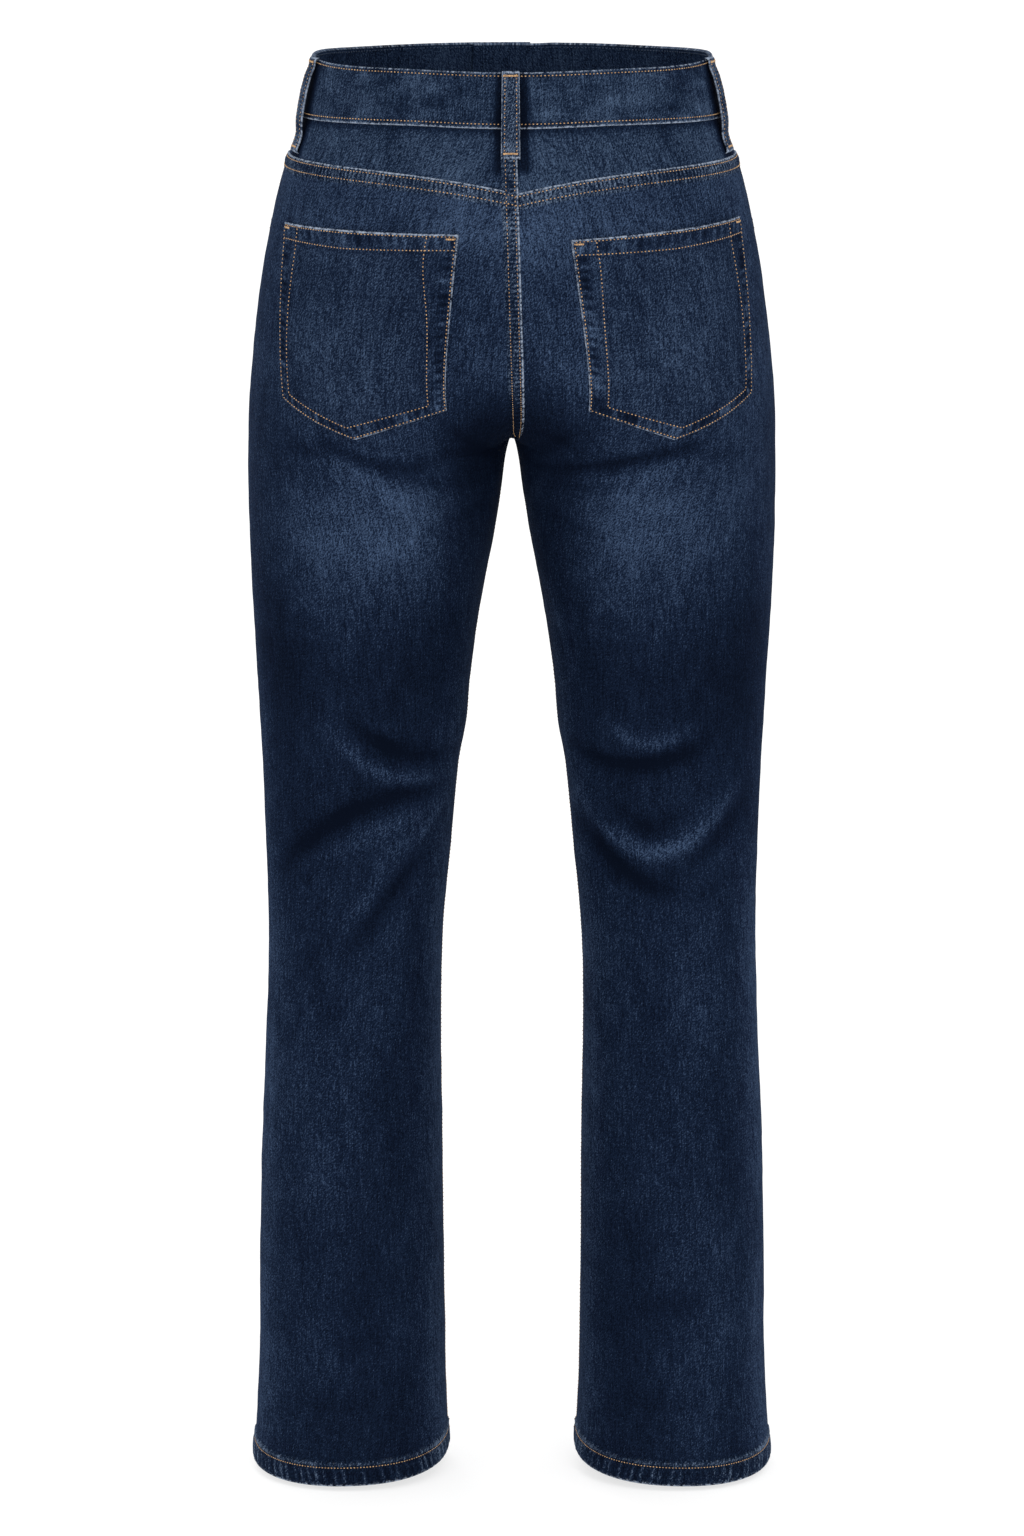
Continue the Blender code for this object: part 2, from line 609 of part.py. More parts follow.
def zip_slider(finish):
    """The zip's slider, on the inside of the teeth."""
    length = float(front_length(-0.035))
    bpy.ops.mesh.primitive_cube_add(size=1)
    obj = bpy.context.object
    obj.name = obj.data.name = "zip_slider"
    obj.data.transform(Matrix.Diagonal((0.0085, 0.011, 0.0030, 1)))
    turn, point = frame_at(LEFT, -1 + 0.0075 / length, -0.032, -0.0028 - 0.0010 - 0.0005 - 0.0015)
    obj.matrix_world = Matrix.Translation(point) @ turn
    bevel = obj.modifiers.new("edges", "BEVEL")
    bevel.width = 0.0007
    bevel.segments = 2
    for owner in list(obj.users_collection):
        owner.objects.unlink(obj)
    PARTS.objects.link(obj)
    smooth_shade(obj.data)
    obj.data.materials.append(finish)
    return obj


# The waist button's outline, from its rim's underside over the top to its middle.
Turn = namedtuple("Turn", "radius height")
BUTTON_OUTLINE = (
    Turn(0.0000, 0.0031),
    Turn(0.0050, 0.0029),
    Turn(0.0066, 0.0026),
    Turn(0.0072, 0.0031),
    Turn(0.0080, 0.0029),
    Turn(0.0085, 0.0022),
    Turn(0.0083, 0.0015),
    Turn(0.0070, 0.0012),
    Turn(0.0034, 0.0010),
    Turn(0.0034, 0.0000),
    Turn(0.0000, 0.0000),
)


def button(finish):
    """The waist button, on the overlapped ends of the waistband."""
    mesh = bpy.data.meshes.new("button")
    points = [(turn.radius, 0.0, turn.height) for turn in BUTTON_OUTLINE]
    mesh.from_pydata(points, [(i, i + 1) for i in range(len(points) - 1)], [])
    obj = bpy.data.objects.new("button", mesh)
    PARTS.objects.link(obj)
    turn, point = frame_at(LEFT, -1 + 0.001, 0.001, WAISTBAND_PROUD + 0.0004)
    obj.matrix_world = Matrix.Translation(point) @ turn
    screw = obj.modifiers.new("turn", "SCREW")
    screw.steps = screw.render_steps = 28
    screw.use_merge_vertices = True
    screw.merge_threshold = 0.00002
    screw.use_normal_calculate = True
    mesh.materials.append(finish)
    return obj


def build():
    """Make every piece."""
    waistband(denim("waistband", (0.026, 0.046, 0.092)))
    for name, side in (("left", LEFT), ("right", RIGHT)):
        yoke(f"yoke_{name}", side, denim(f"yoke_{name}", (0.026, 0.046, 0.092)))
        leg_panel(f"back_{name}", side, False, denim(f"back_{name}"))
        leg_panel(f"front_{name}", side, True, denim(f"front_{name}"))
        back_pocket(f"pocket_back_{name}", side, denim(f"pocket_back_{name}"))
        pocket_facing(f"pocket_facing_{name}", side, denim(f"pocket_facing_{name}"))
        belt_loop(f"belt_loop_side_{name}", side, 0.15, -0.0445, 0.0, denim(f"belt_loop_side_{name}"))
        belt_loop(f"belt_loop_front_{name}", side, -0.52, -0.0400, 0.0, denim(f"belt_loop_front_{name}"))
    belt_loop("belt_loop_back", LEFT, 1 - 0.001 / 0.22, -0.0390, LAP_RISE, denim("belt_loop_back"))
    zip_tape(plain("zip_cotton", (0.030, 0.034, 0.045), 0.9))
    zip_slider(plain("zip_brass", (0.42, 0.30, 0.14), 0.35, 1.0))
    button(plain("button_metal", (0.35, 0.24, 0.13), 0.35, 1.0))


for old in list(bpy.data.objects):
    bpy.data.objects.remove(old, do_unlink=True)
PARTS = bpy.data.collections.new("bootcut_jeans")
bpy.context.scene.collection.children.link(PARTS)
build()
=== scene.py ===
"""Bootcut blue jeans, filled out as if worn with nobody in them: the cloth, the sewing and the finish.

Metres, Z up, with the wearer facing -Y. The cloth lies on one smooth skin, on which a place is given by
its height z and by q, which runs round one leg side from -1, the front centre seam or inseam, through 0,
the outseam, to 1, the back centre seam or inseam.
"""

import math
from collections import namedtuple

import bpy
import numpy as np
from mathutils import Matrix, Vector
from mathutils.bvhtree import BVHTree


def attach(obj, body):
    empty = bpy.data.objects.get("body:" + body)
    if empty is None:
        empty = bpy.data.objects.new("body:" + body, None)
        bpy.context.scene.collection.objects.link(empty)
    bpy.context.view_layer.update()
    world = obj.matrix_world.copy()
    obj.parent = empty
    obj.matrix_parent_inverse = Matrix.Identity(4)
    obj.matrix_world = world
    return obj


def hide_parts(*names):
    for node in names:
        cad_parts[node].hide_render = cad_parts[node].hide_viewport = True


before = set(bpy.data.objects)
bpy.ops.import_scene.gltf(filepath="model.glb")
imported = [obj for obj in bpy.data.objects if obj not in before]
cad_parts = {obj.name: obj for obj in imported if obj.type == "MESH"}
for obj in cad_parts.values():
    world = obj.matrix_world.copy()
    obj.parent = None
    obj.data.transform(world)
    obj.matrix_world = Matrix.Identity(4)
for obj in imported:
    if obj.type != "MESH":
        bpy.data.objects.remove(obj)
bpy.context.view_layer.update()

LEFT, RIGHT = 1, -1
SIDES = (("left", LEFT), ("right", RIGHT))

# Driving sizes, in metres
RIM_Z = 0.021
HEM_Z = -1.0472
HEM_TILT = 0.0035
CROTCH_Z = -0.2605
BAND_SEAM_Z = -0.0208
YOKE_SIDE_Z = -0.0485
YOKE_DIP = 0.0155
SCOOP_Q = 0.42
SCOOP_DEPTH = 0.078
FLY_END_Z = -0.168
LOOP_WIDTH = 0.013
FACING_DEPTH = 0.0030
OUTSEAM_FORWARD = 0.006
WAISTBAND_PROUD = 0.0012
SECTION_POWER = 2.15
CROTCH_ROUNDING = 0.006
BAND_SHELL = 0.0027
SHELL = 0.0012
POCKET_WIDE, POCKET_TALL = 0.147, 0.137

# How far threads and waves run round the waist for each step of 1 in q
WAIST_SPREAD = 0.24

# How far each end of the waistband goes past the front centre, and how far the lower end is drawn in
UPPER_END, LOWER_END, LOWER_END_DROP = 0.014, 0.030, 0.00335

# How far each line of stitches lies from the edge or seam that it follows
BAND_TOP_LINE, BAND_FOOT_LINE = 0.0027, 0.0034
FELLED_LINES = (0.0024, 0.0088)
SCOOP_LINES = (0.0017, 0.0078)
INSEAM_LINES = (0.0022, 0.0080)
OUTSEAM_LINE = 0.0022
HEM_LINE = 0.0132
MOUTH_LINES = (0.0018, 0.0118)
POCKET_LINE, POCKET_INNER_LINE = 0.0020, 0.0088

# The line of the yoke seam's folded edge above the seam itself
SEAM_RISE = 0.0004

# Painted shade in troughs and painted highlight on crests: how much darker a metre of trough is and how
# much paler a metre of crest, in folds and in fine creases
TROUGH_DARK, CREST_PALE = 54, 25
CREASE_DARK, CREASE_PALE = 260, 120

# The outline from the back and from the side. front and back are depths from the middle.
Profile = namedtuple("Profile", "z half_width front back")
PROFILE = (
    Profile(0.030, 0.1466, 0.0995, 0.0955),
    Profile(0.021, 0.1484, 0.1005, 0.0970),
    Profile(-0.021, 0.1568, 0.1060, 0.1050),
    Profile(-0.062, 0.1704, 0.1105, 0.1180),
    Profile(-0.114, 0.1824, 0.1135, 0.1320),
    Profile(-0.174, 0.1910, 0.1130, 0.1400),
    Profile(-0.234, 0.1957, 0.1070, 0.1350),
    Profile(-0.264, 0.1960, 0.1025, 0.1270),
    Profile(-0.325, 0.1958, 0.0980, 0.1100),
    Profile(-0.385, 0.1935, 0.0935, 0.0970),
    Profile(-0.446, 0.1899, 0.0880, 0.0840),
    Profile(-0.507, 0.1867, 0.0830, 0.0720),
    Profile(-0.569, 0.1844, 0.0780, 0.0670),
    Profile(-0.630, 0.1830, 0.0715, 0.0700),
    Profile(-0.692, 0.1844, 0.0675, 0.0745),
    Profile(-0.785, 0.1884, 0.0665, 0.0785),
    Profile(-0.879, 0.1907, 0.0680, 0.0800),
    Profile(-0.973, 0.1920, 0.0700, 0.0815),
    Profile(-1.036, 0.1955, 0.0725, 0.0835),
    Profile(-1.060, 0.1972, 0.0735, 0.0845),
)

# How far the inside of each leg stays from the middle, below the crotch.
Gap = namedtuple("Gap", "z inner")
LEG_GAP = (
    Gap(CROTCH_Z, 0.0060),
    Gap(-0.2795, 0.0083),
    Gap(-0.295, 0.0097),
    Gap(-0.325, 0.0137),
    Gap(-0.355, 0.0189),
    Gap(-0.385, 0.0243),
    Gap(-0.416, 0.0290),
    Gap(-0.446, 0.0324),
    Gap(-0.477, 0.0352),
    Gap(-0.507, 0.0405),
    Gap(-0.538, 0.0439),
    Gap(-0.569, 0.0466),
    Gap(-0.630, 0.0522),
    Gap(-0.692, 0.0542),
    Gap(-0.785, 0.0532),
    Gap(-0.926, 0.0519),
    Gap(-0.973, 0.0512),
    Gap(-1.036, 0.0491),
    Gap(-1.060, 0.0490),
)

# How far the two leg sides are parted above the crotch: 0 is one round ring, and 1 is two that touch.
Rise = namedtuple("Rise", "z back_split front_split rounding")
RISE = (
    Rise(0.030, 0.0, 0.0, 0.020),
    Rise(-0.060, 0.0, 0.0, 0.022),
    Rise(-0.100, 0.08, 0.0, 0.024),
    Rise(-0.135, 0.20, 0.04, 0.024),
    Rise(-0.168, 0.37, 0.14, 0.024),
    Rise(-0.200, 0.58, 0.34, 0.020),
    Rise(-0.228, 0.80, 0.64, 0.014),
    Rise(-0.242, 0.92, 0.84, 0.010),
    Rise(-0.252, 1.01, 0.99, 0.008),
    Rise(CROTCH_Z, 1.0632, 1.0632, CROTCH_ROUNDING),
)

# Folds on the back and on the front, as bent lines in x and z. A negative depth is a trough.
Fold = namedtuple("Fold", "x0 z0 x1 z1 x2 z2 depth width")
BACK_FOLDS = (
    Fold(0.008, -0.277, 0.064, -0.270, 0.145, -0.240, -0.0034, 0.009),
    Fold(-0.011, -0.276, -0.076, -0.270, -0.140, -0.245, -0.0034, 0.009),
    Fold(0.046, -0.312, 0.098, -0.284, 0.152, -0.254, 0.0018, 0.011),
    Fold(-0.040, -0.292, -0.100, -0.288, -0.155, -0.266, 0.0018, 0.011),
    Fold(0.036, -0.493, 0.094, -0.504, 0.123, -0.456, -0.0038, 0.008),
    Fold(0.041, -0.508, 0.111, -0.521, 0.142, -0.458, 0.0028, 0.009),
    Fold(0.054, -0.524, 0.134, -0.519, 0.175, -0.586, -0.0044, 0.009),
    Fold(0.054, -0.534, 0.114, -0.550, 0.166, -0.592, 0.0022, 0.010),
    Fold(0.054, -0.542, 0.096, -0.574, 0.124, -0.632, 0.0018, 0.008),
    Fold(0.060, -0.558, 0.090, -0.606, 0.118, -0.648, -0.0028, 0.009),
    Fold(-0.058, -0.456, -0.097, -0.492, -0.140, -0.462, 0.0020, 0.010),
    Fold(-0.038, -0.484, -0.090, -0.518, -0.150, -0.474, -0.0042, 0.009),
    Fold(-0.070, -0.516, -0.100, -0.574, -0.134, -0.520, -0.0026, 0.010),
    Fold(-0.045, -0.512, -0.108, -0.628, -0.179, -0.492, 0.0032, 0.009),
    Fold(-0.048, -0.538, -0.100, -0.644, -0.172, -0.526, -0.0042, 0.010),
)
FRONT_FOLDS = (
    Fold(0.014, -0.246, 0.070, -0.230, 0.130, -0.178, -0.0030, 0.010),
    Fold(-0.013, -0.249, -0.078, -0.236, -0.138, -0.190, -0.0032, 0.010),
    Fold(0.018, -0.268, 0.085, -0.268, 0.140, -0.246, -0.0024, 0.010),
    Fold(-0.020, -0.271, -0.076, -0.268, -0.128, -0.252, -0.0022, 0.010),
    Fold(0.046, -0.484, 0.105, -0.530, 0.168, -0.476, -0.0034, 0.010),
    Fold(0.050, -0.536, 0.110, -0.524, 0.172, -0.566, -0.0030, 0.010),
    Fold(-0.048, -0.496, -0.112, -0.492, -0.172, -0.540, -0.0034, 0.010),
    Fold(-0.054, -0.548, -0.104, -0.586, -0.160, -0.560, -0.0028, 0.011),
)


def smooth(table, name):
    """A smooth function of height through one column of a table."""
    rows = sorted(table, key=lambda row: row.z)
    z = np.array([row.z for row in rows])
    value = np.array([getattr(row, name) for row in rows])
    slope = np.gradient(value, z)

    def at(height):
        height = np.clip(height, z[0], z[-1])
        i = np.clip(np.searchsorted(z, height) - 1, 0, len(z) - 2)
        span = z[i + 1] - z[i]
        t = (height - z[i]) / span
        start = (1 + 2 * t) * (1 - t) ** 2 * value[i] + t * (1 - t) ** 2 * span * slope[i]
        end = t * t * (3 - 2 * t) * value[i + 1] - t * t * (1 - t) * span * slope[i + 1]
        return start + end

    return at


def ease(low, high, value):
    """0 below low, 1 above high, and a smooth step between."""
    t = np.clip((np.asarray(value, float) - low) / (high - low), 0, 1)
    return t * t * (3 - 2 * t)


def peak(value, place, width):
    """1 at a place, falling softly to 0 past about a width on either side."""
    return np.exp(-(((value - place) / width) ** 2))


half_width = smooth(PROFILE, "half_width")
front_depth = smooth(PROFILE, "front")
back_depth = smooth(PROFILE, "back")
leg_inner = smooth(LEG_GAP, "inner")
back_split = smooth(RISE, "back_split")
front_split = smooth(RISE, "front_split")
rounding_at = smooth(RISE, "rounding")

# The skin: rings at many heights, each with its points evenly spaced between the seams
STATIONS = 96
ARC_STEPS = 240


def quarter(z, depth, split):
    """Half of a ring at one height: from the side, t = 0, in to the centre line or the inseam."""
    width = half_width(z)
    if z >= CROTCH_Z:
        half = width / (1 + split)
        centre = width - half
        rounding = rounding_at(z)
        reach = (rounding - centre) / half
        last = math.acos(math.copysign(min(abs(reach), 1) ** (SECTION_POWER / 2), reach))
    else:
        half = (width - leg_inner(z)) / 2
        centre = width - half
        rounding = CROTCH_ROUNDING
        last = math.pi
    t = last * (1 - (1 - np.linspace(0, 1, ARC_STEPS)) ** 2)
    across, along = np.cos(t), np.sin(t)
    x = centre + half * np.sign(across) * np.abs(across) ** (2 / SECTION_POWER)
    y = depth * np.abs(along) ** (2 / SECTION_POWER)
    return np.sqrt(np.maximum(x * x - rounding * rounding, 0)), y


def half_ring(z):
    """One height's ring on the left: 2 * STATIONS + 1 points from q = -1 to q = 1, and its two lengths."""
    front_x, front_y = quarter(z, -front_depth(z), front_split(z))
    back_x, back_y = quarter(z, back_depth(z), back_split(z))
    x = np.concatenate([front_x[::-1], back_x[1:]])
    y = np.concatenate([front_y[::-1], back_y[1:]])
    run = np.concatenate([[0], np.cumsum(np.hypot(np.diff(x), np.diff(y)))])
    outseam = run[ARC_STEPS - 1] - OUTSEAM_FORWARD
    stops = np.concatenate(
        [np.linspace(0, outseam, STATIONS + 1), np.linspace(outseam, run[-1], STATIONS + 1)[1:]]
    )
    points = np.stack([np.interp(stops, run, x), np.interp(stops, run, y)], axis=1)
    return points, outseam, run[-1] - outseam


def heights():
    """Heights of the rings, closer together near the crotch."""
    near = CROTCH_Z + 0.02 * np.linspace(0, 1, 25) ** 2
    below = CROTCH_Z - 1e-6 - 0.02 * np.linspace(0, 1, 25) ** 2
    above = np.arange(CROTCH_Z + 0.022, RIM_Z + 0.008, 0.002)
    legs = np.arange(CROTCH_Z - 0.022, HEM_Z - 0.010, -0.002)
    return np.sort(np.concatenate([near, below, above, legs]))


HEIGHTS = heights()
RINGS = [half_ring(z) for z in HEIGHTS]
RING_POINTS = np.array([ring[0] for ring in RINGS])
FRONT_LENGTH = np.array([ring[1] for ring in RINGS])
BACK_LENGTH = np.array([ring[2] for ring in RINGS])


def front_length(z):
    """The length round the front of one leg side at a height."""
    return np.interp(z, HEIGHTS, FRONT_LENGTH)


def back_length(z):
    """The length round the back of one leg side at a height."""
    return np.interp(z, HEIGHTS, BACK_LENGTH)


# The two lengths evened out over a span of heights
EVEN_SPAN = 0.12
LEVELS = np.arange(HEM_Z - 0.3, RIM_Z + 0.3, 0.005)
NEARNESS = peak(LEVELS[:, None], LEVELS[None], EVEN_SPAN)
NEARNESS = NEARNESS / NEARNESS.sum(axis=1, keepdims=True)
EVEN_FRONT = NEARNESS @ front_length(LEVELS)
EVEN_BACK = NEARNESS @ back_length(LEVELS)


def thread_width(q, z):
    """The width that the threads of one leg side are spread over, which changes slowly with height."""
    return np.where(np.asarray(q) < 0, np.interp(z, LEVELS, EVEN_FRONT), np.interp(z, LEVELS, EVEN_BACK))


def skin(q, z):
    """Points of the left half of the skin.

    Past a centre seam it goes on over the other half, and past an inseam it goes on round the leg.
    """
    q, z = np.broadcast_arrays(np.asarray(q, float), np.asarray(z, float))
    past = np.abs(q) > 1
    above = z >= CROTCH_Z
    turned = np.where(past, np.where(above, 2 * np.sign(q) - q, q - 2 * np.sign(q)), q)
    mirrored = np.where(past & above, -1.0, 1.0)
    row = np.clip(np.searchsorted(HEIGHTS, z) - 1, 0, len(HEIGHTS) - 2)
    up = ((z - HEIGHTS[row]) / (HEIGHTS[row + 1] - HEIGHTS[row]))[..., None]
    place = (np.clip(turned, -1, 1) + 1) * STATIONS
    left = np.clip(place.astype(int), 0, 2 * STATIONS - 1)
    along = (place - left)[..., None]
    low = RING_POINTS[row, left] * (1 - along) + RING_POINTS[row, left + 1] * along
    high = RING_POINTS[row + 1, left] * (1 - along) + RING_POINTS[row + 1, left + 1] * along
    flat = low * (1 - up) + high * up
    return np.stack([flat[..., 0] * mirrored, flat[..., 1], z], axis=-1)


def skin_normal(q, z, step_q=0.012, step_z=0.003):
    """Outward directions on the left half of the skin."""
    around = skin(q + step_q, z) - skin(q - step_q, z)
    upward = skin(q, z + step_z) - skin(q, z - step_z)
    normal = np.cross(around, upward)
    normal /= np.linalg.norm(normal, axis=-1, keepdims=True)
    below = np.exp(-(((1 - np.abs(q)) / 0.03) ** 2) - ((z - CROTCH_Z) / 0.004) ** 2)[..., None]
    normal = normal * (1 - below) + np.array([0.0, 0.0, -1.0]) * below
    return normal / np.linalg.norm(normal, axis=-1, keepdims=True)


def fold_relief(x, z, folds):
    """How far a set of folds lifts the cloth at x and z."""
    lift = np.zeros(np.shape(x))
    steps = np.linspace(0, 1, 13)
    bend = ((1 - steps) ** 2, 2 * steps * (1 - steps), steps**2)
    for fold in folds:
        line_x = bend[0] * fold.x0 + bend[1] * fold.x1 + bend[2] * fold.x2
        line_z = bend[0] * fold.z0 + bend[1] * fold.z1 + bend[2] * fold.z2
        nearest = np.full(np.shape(x), 1e9)
        where = np.zeros(np.shape(x))
        for i in range(len(steps) - 1):
            run_x, run_z = line_x[i + 1] - line_x[i], line_z[i + 1] - line_z[i]
            share = ((x - line_x[i]) * run_x + (z - line_z[i]) * run_z) / (run_x**2 + run_z**2)
            share = np.clip(share, 0, 1)
            away = np.hypot(x - line_x[i] - share * run_x, z - line_z[i] - share * run_z)
            closer = away < nearest
            nearest = np.where(closer, away, nearest)
            where = np.where(closer, (i + share) / (len(steps) - 1), where)
        taper = np.sin(np.pi * np.clip(where, 0.0, 1.0)) ** 0.7
        lift += fold.depth * taper * peak(nearest, 0, fold.width)
    return lift


def rim_z(q):
    """The waistband's top edge, a little higher at the sides and beside the back loop."""
    q = np.asarray(q, float)
    behind = 0.0012 * ease(0.1, 0.6, q) + 0.0012 * peak(q, 0.6, 0.25)
    return RIM_Z + behind + 0.0034 * peak(q, 0, 0.30)


def band_z(q):
    """The waistband's lower seam."""
    q = np.asarray(q, float)
    return BAND_SEAM_Z + 0.0024 * ease(0.0, 0.5, q) + 0.0012 * peak(q, 0.65, 0.2)


def yoke_z(q):
    """The yoke's lower seam, dipping at the back centre."""
    return YOKE_SIDE_Z - YOKE_DIP * np.abs(np.asarray(q, float)) ** 3.5


def scoop_z(q):
    """The top edge of a front leg: the waistband seam, then the scoop of the pocket opening."""
    share = np.clip(np.abs(np.asarray(q, float)) / SCOOP_Q, 0, 1)
    return band_z(q) - SCOOP_DEPTH * (1 - share**2.2) ** 0.9


def hem_z(q):
    """The hem, a little lower at the outseam, and drawn up at both seams."""
    across = 1 - 2 * np.abs(np.asarray(q, float))
    return HEM_Z - HEM_TILT * across + 0.0085 * np.abs(across) ** 2.4


def down_seat(z):
    """The share of the way down the seat, from 0 near the waistband to 1 above the crotch."""
    return np.clip((-0.04 - z) / 0.20, 0, 1)


def centre_shift(z):
    """How far the centre seams stand to the wearer's right of the middle."""
    return (0.0036 + 0.0060 * down_seat(z)) * ease(CROTCH_Z + 0.003, CROTCH_Z + 0.045, z)


def lap_line(z):
    """How far the centre back seam's lapped edge stands to the wearer's right of the middle."""
    return 0.0038 + 0.0062 * down_seat(z) * ease(CROTCH_Z - 0.014, CROTCH_Z + 0.010, z)


def length_at(q, z):
    """The length round the skin from the outseam to the centre seam or inseam."""
    return np.where(q < 0, front_length(z), back_length(z))


# Unevenness that comes out the same each time

def scatter(number, seed):
    """A value from -1 to 1 for each whole number, which looks random and comes out the same each time."""
    turned = np.sin(number * 127.1 + seed * 311.7) * 43758.5453
    return 2 * (turned - np.floor(turned)) - 1


def waver(along, seed, periods=(0.0062, 0.0090, 0.0160)):
    """An uneven wave along a line, from about -1 to 1."""
    along = np.asarray(along, float)
    wave = np.zeros(along.shape)
    for k, period in enumerate(periods):
        place = along / period + 17.3 * k
        whole = np.floor(place)
        t = ease(0, 1, place - whole)
        wave += scatter(whole, seed + k) * (1 - t) + scatter(whole + 1, seed + k) * t
    return wave * 1.4 / len(periods)


def ladder(along, seed, pitch=0.0034):
    """Close, nearly even puckers along a double-stitched seam, from about -1 to 1."""
    drift = 2.2 * waver(along, seed, (0.011, 0.019, 0.043))
    return 0.75 * np.sin(2 * np.pi * along / pitch + drift) + 0.45 * waver(along, seed + 5)


def pleats(along, seed, pitch=0.0068):
    """Thin, uneven ridges across a turned hem, from about -0.4 to 1.3."""
    whole = np.floor(along / pitch)
    away = along / pitch - whole - 0.5 - 0.28 * scatter(whole, seed)
    strength = 0.8 + 0.6 * scatter(whole, seed + 2)
    return strength * peak(away, 0, 0.22) - 0.30 + 0.25 * waver(along, seed + 4)


def clouds(x, z, seed, size):
    """Soft uneven patches over the cloth, from about -1 to 1."""
    total = 0
    for k, share in ((0, 0.65), (1, 0.35)):
        u, v = x / size * 2.1**k + 7.7 * k, z / size * 2.1**k
        i, j = np.floor(u), np.floor(v)
        s, t = ease(0, 1, u - i), ease(0, 1, v - j)
        low = scatter(i + 57 * j, seed + k) * (1 - s) + scatter(i + 1 + 57 * j, seed + k) * s
        high = scatter(i + 57 * (j + 1), seed + k) * (1 - s) + scatter(i + 1 + 57 * (j + 1), seed + k) * s
        total = total + share * (low * (1 - t) + high * t)
    return total


# More creases than the solids hold, each a bent line in x and z with its depth and width
BACK_CREASES = (
    Fold(0.020, -0.283, 0.060, -0.282, 0.100, -0.268, -0.0012, 0.004),
    Fold(-0.022, -0.284, -0.066, -0.284, -0.104, -0.270, -0.0012, 0.004),
    Fold(0.014, -0.262, 0.030, -0.250, 0.052, -0.228, -0.0012, 0.005),
    Fold(-0.016, -0.262, -0.034, -0.249, -0.056, -0.230, -0.0013, 0.005),
    Fold(0.128, -0.252, 0.148, -0.258, 0.172, -0.250, -0.0011, 0.005),
    Fold(-0.132, -0.256, -0.150, -0.262, -0.174, -0.256, -0.0011, 0.005),
    Fold(0.016, -0.300, 0.040, -0.312, 0.070, -0.316, -0.0010, 0.006),
    Fold(-0.018, -0.302, -0.044, -0.316, -0.076, -0.322, -0.0010, 0.006),
    Fold(0.056, -0.482, 0.086, -0.486, 0.112, -0.470, -0.0012, 0.005),
    Fold(0.046, -0.516, 0.082, -0.524, 0.120, -0.512, -0.0012, 0.0045),
    Fold(0.078, -0.562, 0.098, -0.586, 0.128, -0.600, -0.0010, 0.006),
    Fold(0.130, -0.622, 0.150, -0.640, 0.164, -0.664, -0.0009, 0.007),
    Fold(-0.128, -0.604, -0.146, -0.600, -0.168, -0.578, -0.0010, 0.006),
    Fold(0.088, -0.930, 0.110, -0.944, 0.140, -0.940, -0.0008, 0.009),
    Fold(-0.094, -0.905, -0.120, -0.914, -0.150, -0.902, -0.0008, 0.009),
    Fold(0.120, -0.985, 0.146, -0.992, 0.174, -0.980, -0.0008, 0.008),
    Fold(-0.070, -0.975, -0.094, -0.988, -0.122, -0.984, -0.0008, 0.008),
)
FRONT_CREASES = (
    Fold(0.010, -0.232, 0.050, -0.214, 0.092, -0.176, -0.0012, 0.005),
    Fold(-0.012, -0.234, -0.052, -0.222, -0.098, -0.190, -0.0012, 0.005),
    Fold(0.024, -0.258, 0.080, -0.250, 0.128, -0.216, -0.0012, 0.005),
    Fold(-0.026, -0.260, -0.082, -0.256, -0.136, -0.228, -0.0012, 0.005),
    Fold(0.040, -0.288, 0.088, -0.292, 0.132, -0.276, -0.0010, 0.006),
    Fold(-0.042, -0.292, -0.092, -0.298, -0.138, -0.284, -0.0010, 0.006),
    Fold(0.058, -0.500, 0.100, -0.536, 0.146, -0.506, -0.0012, 0.005),
    Fold(0.062, -0.560, 0.108, -0.552, 0.158, -0.586, -0.0012, 0.006),
    Fold(-0.056, -0.516, -0.104, -0.512, -0.158, -0.556, -0.0012, 0.005),
    Fold(-0.066, -0.566, -0.110, -0.606, -0.158, -0.590, -0.0011, 0.006),
    Fold(0.092, -0.940, 0.120, -0.950, 0.150, -0.938, -0.0009, 0.009),
    Fold(-0.088, -0.950, -0.118, -0.962, -0.150, -0.950, -0.0009, 0.009),
)
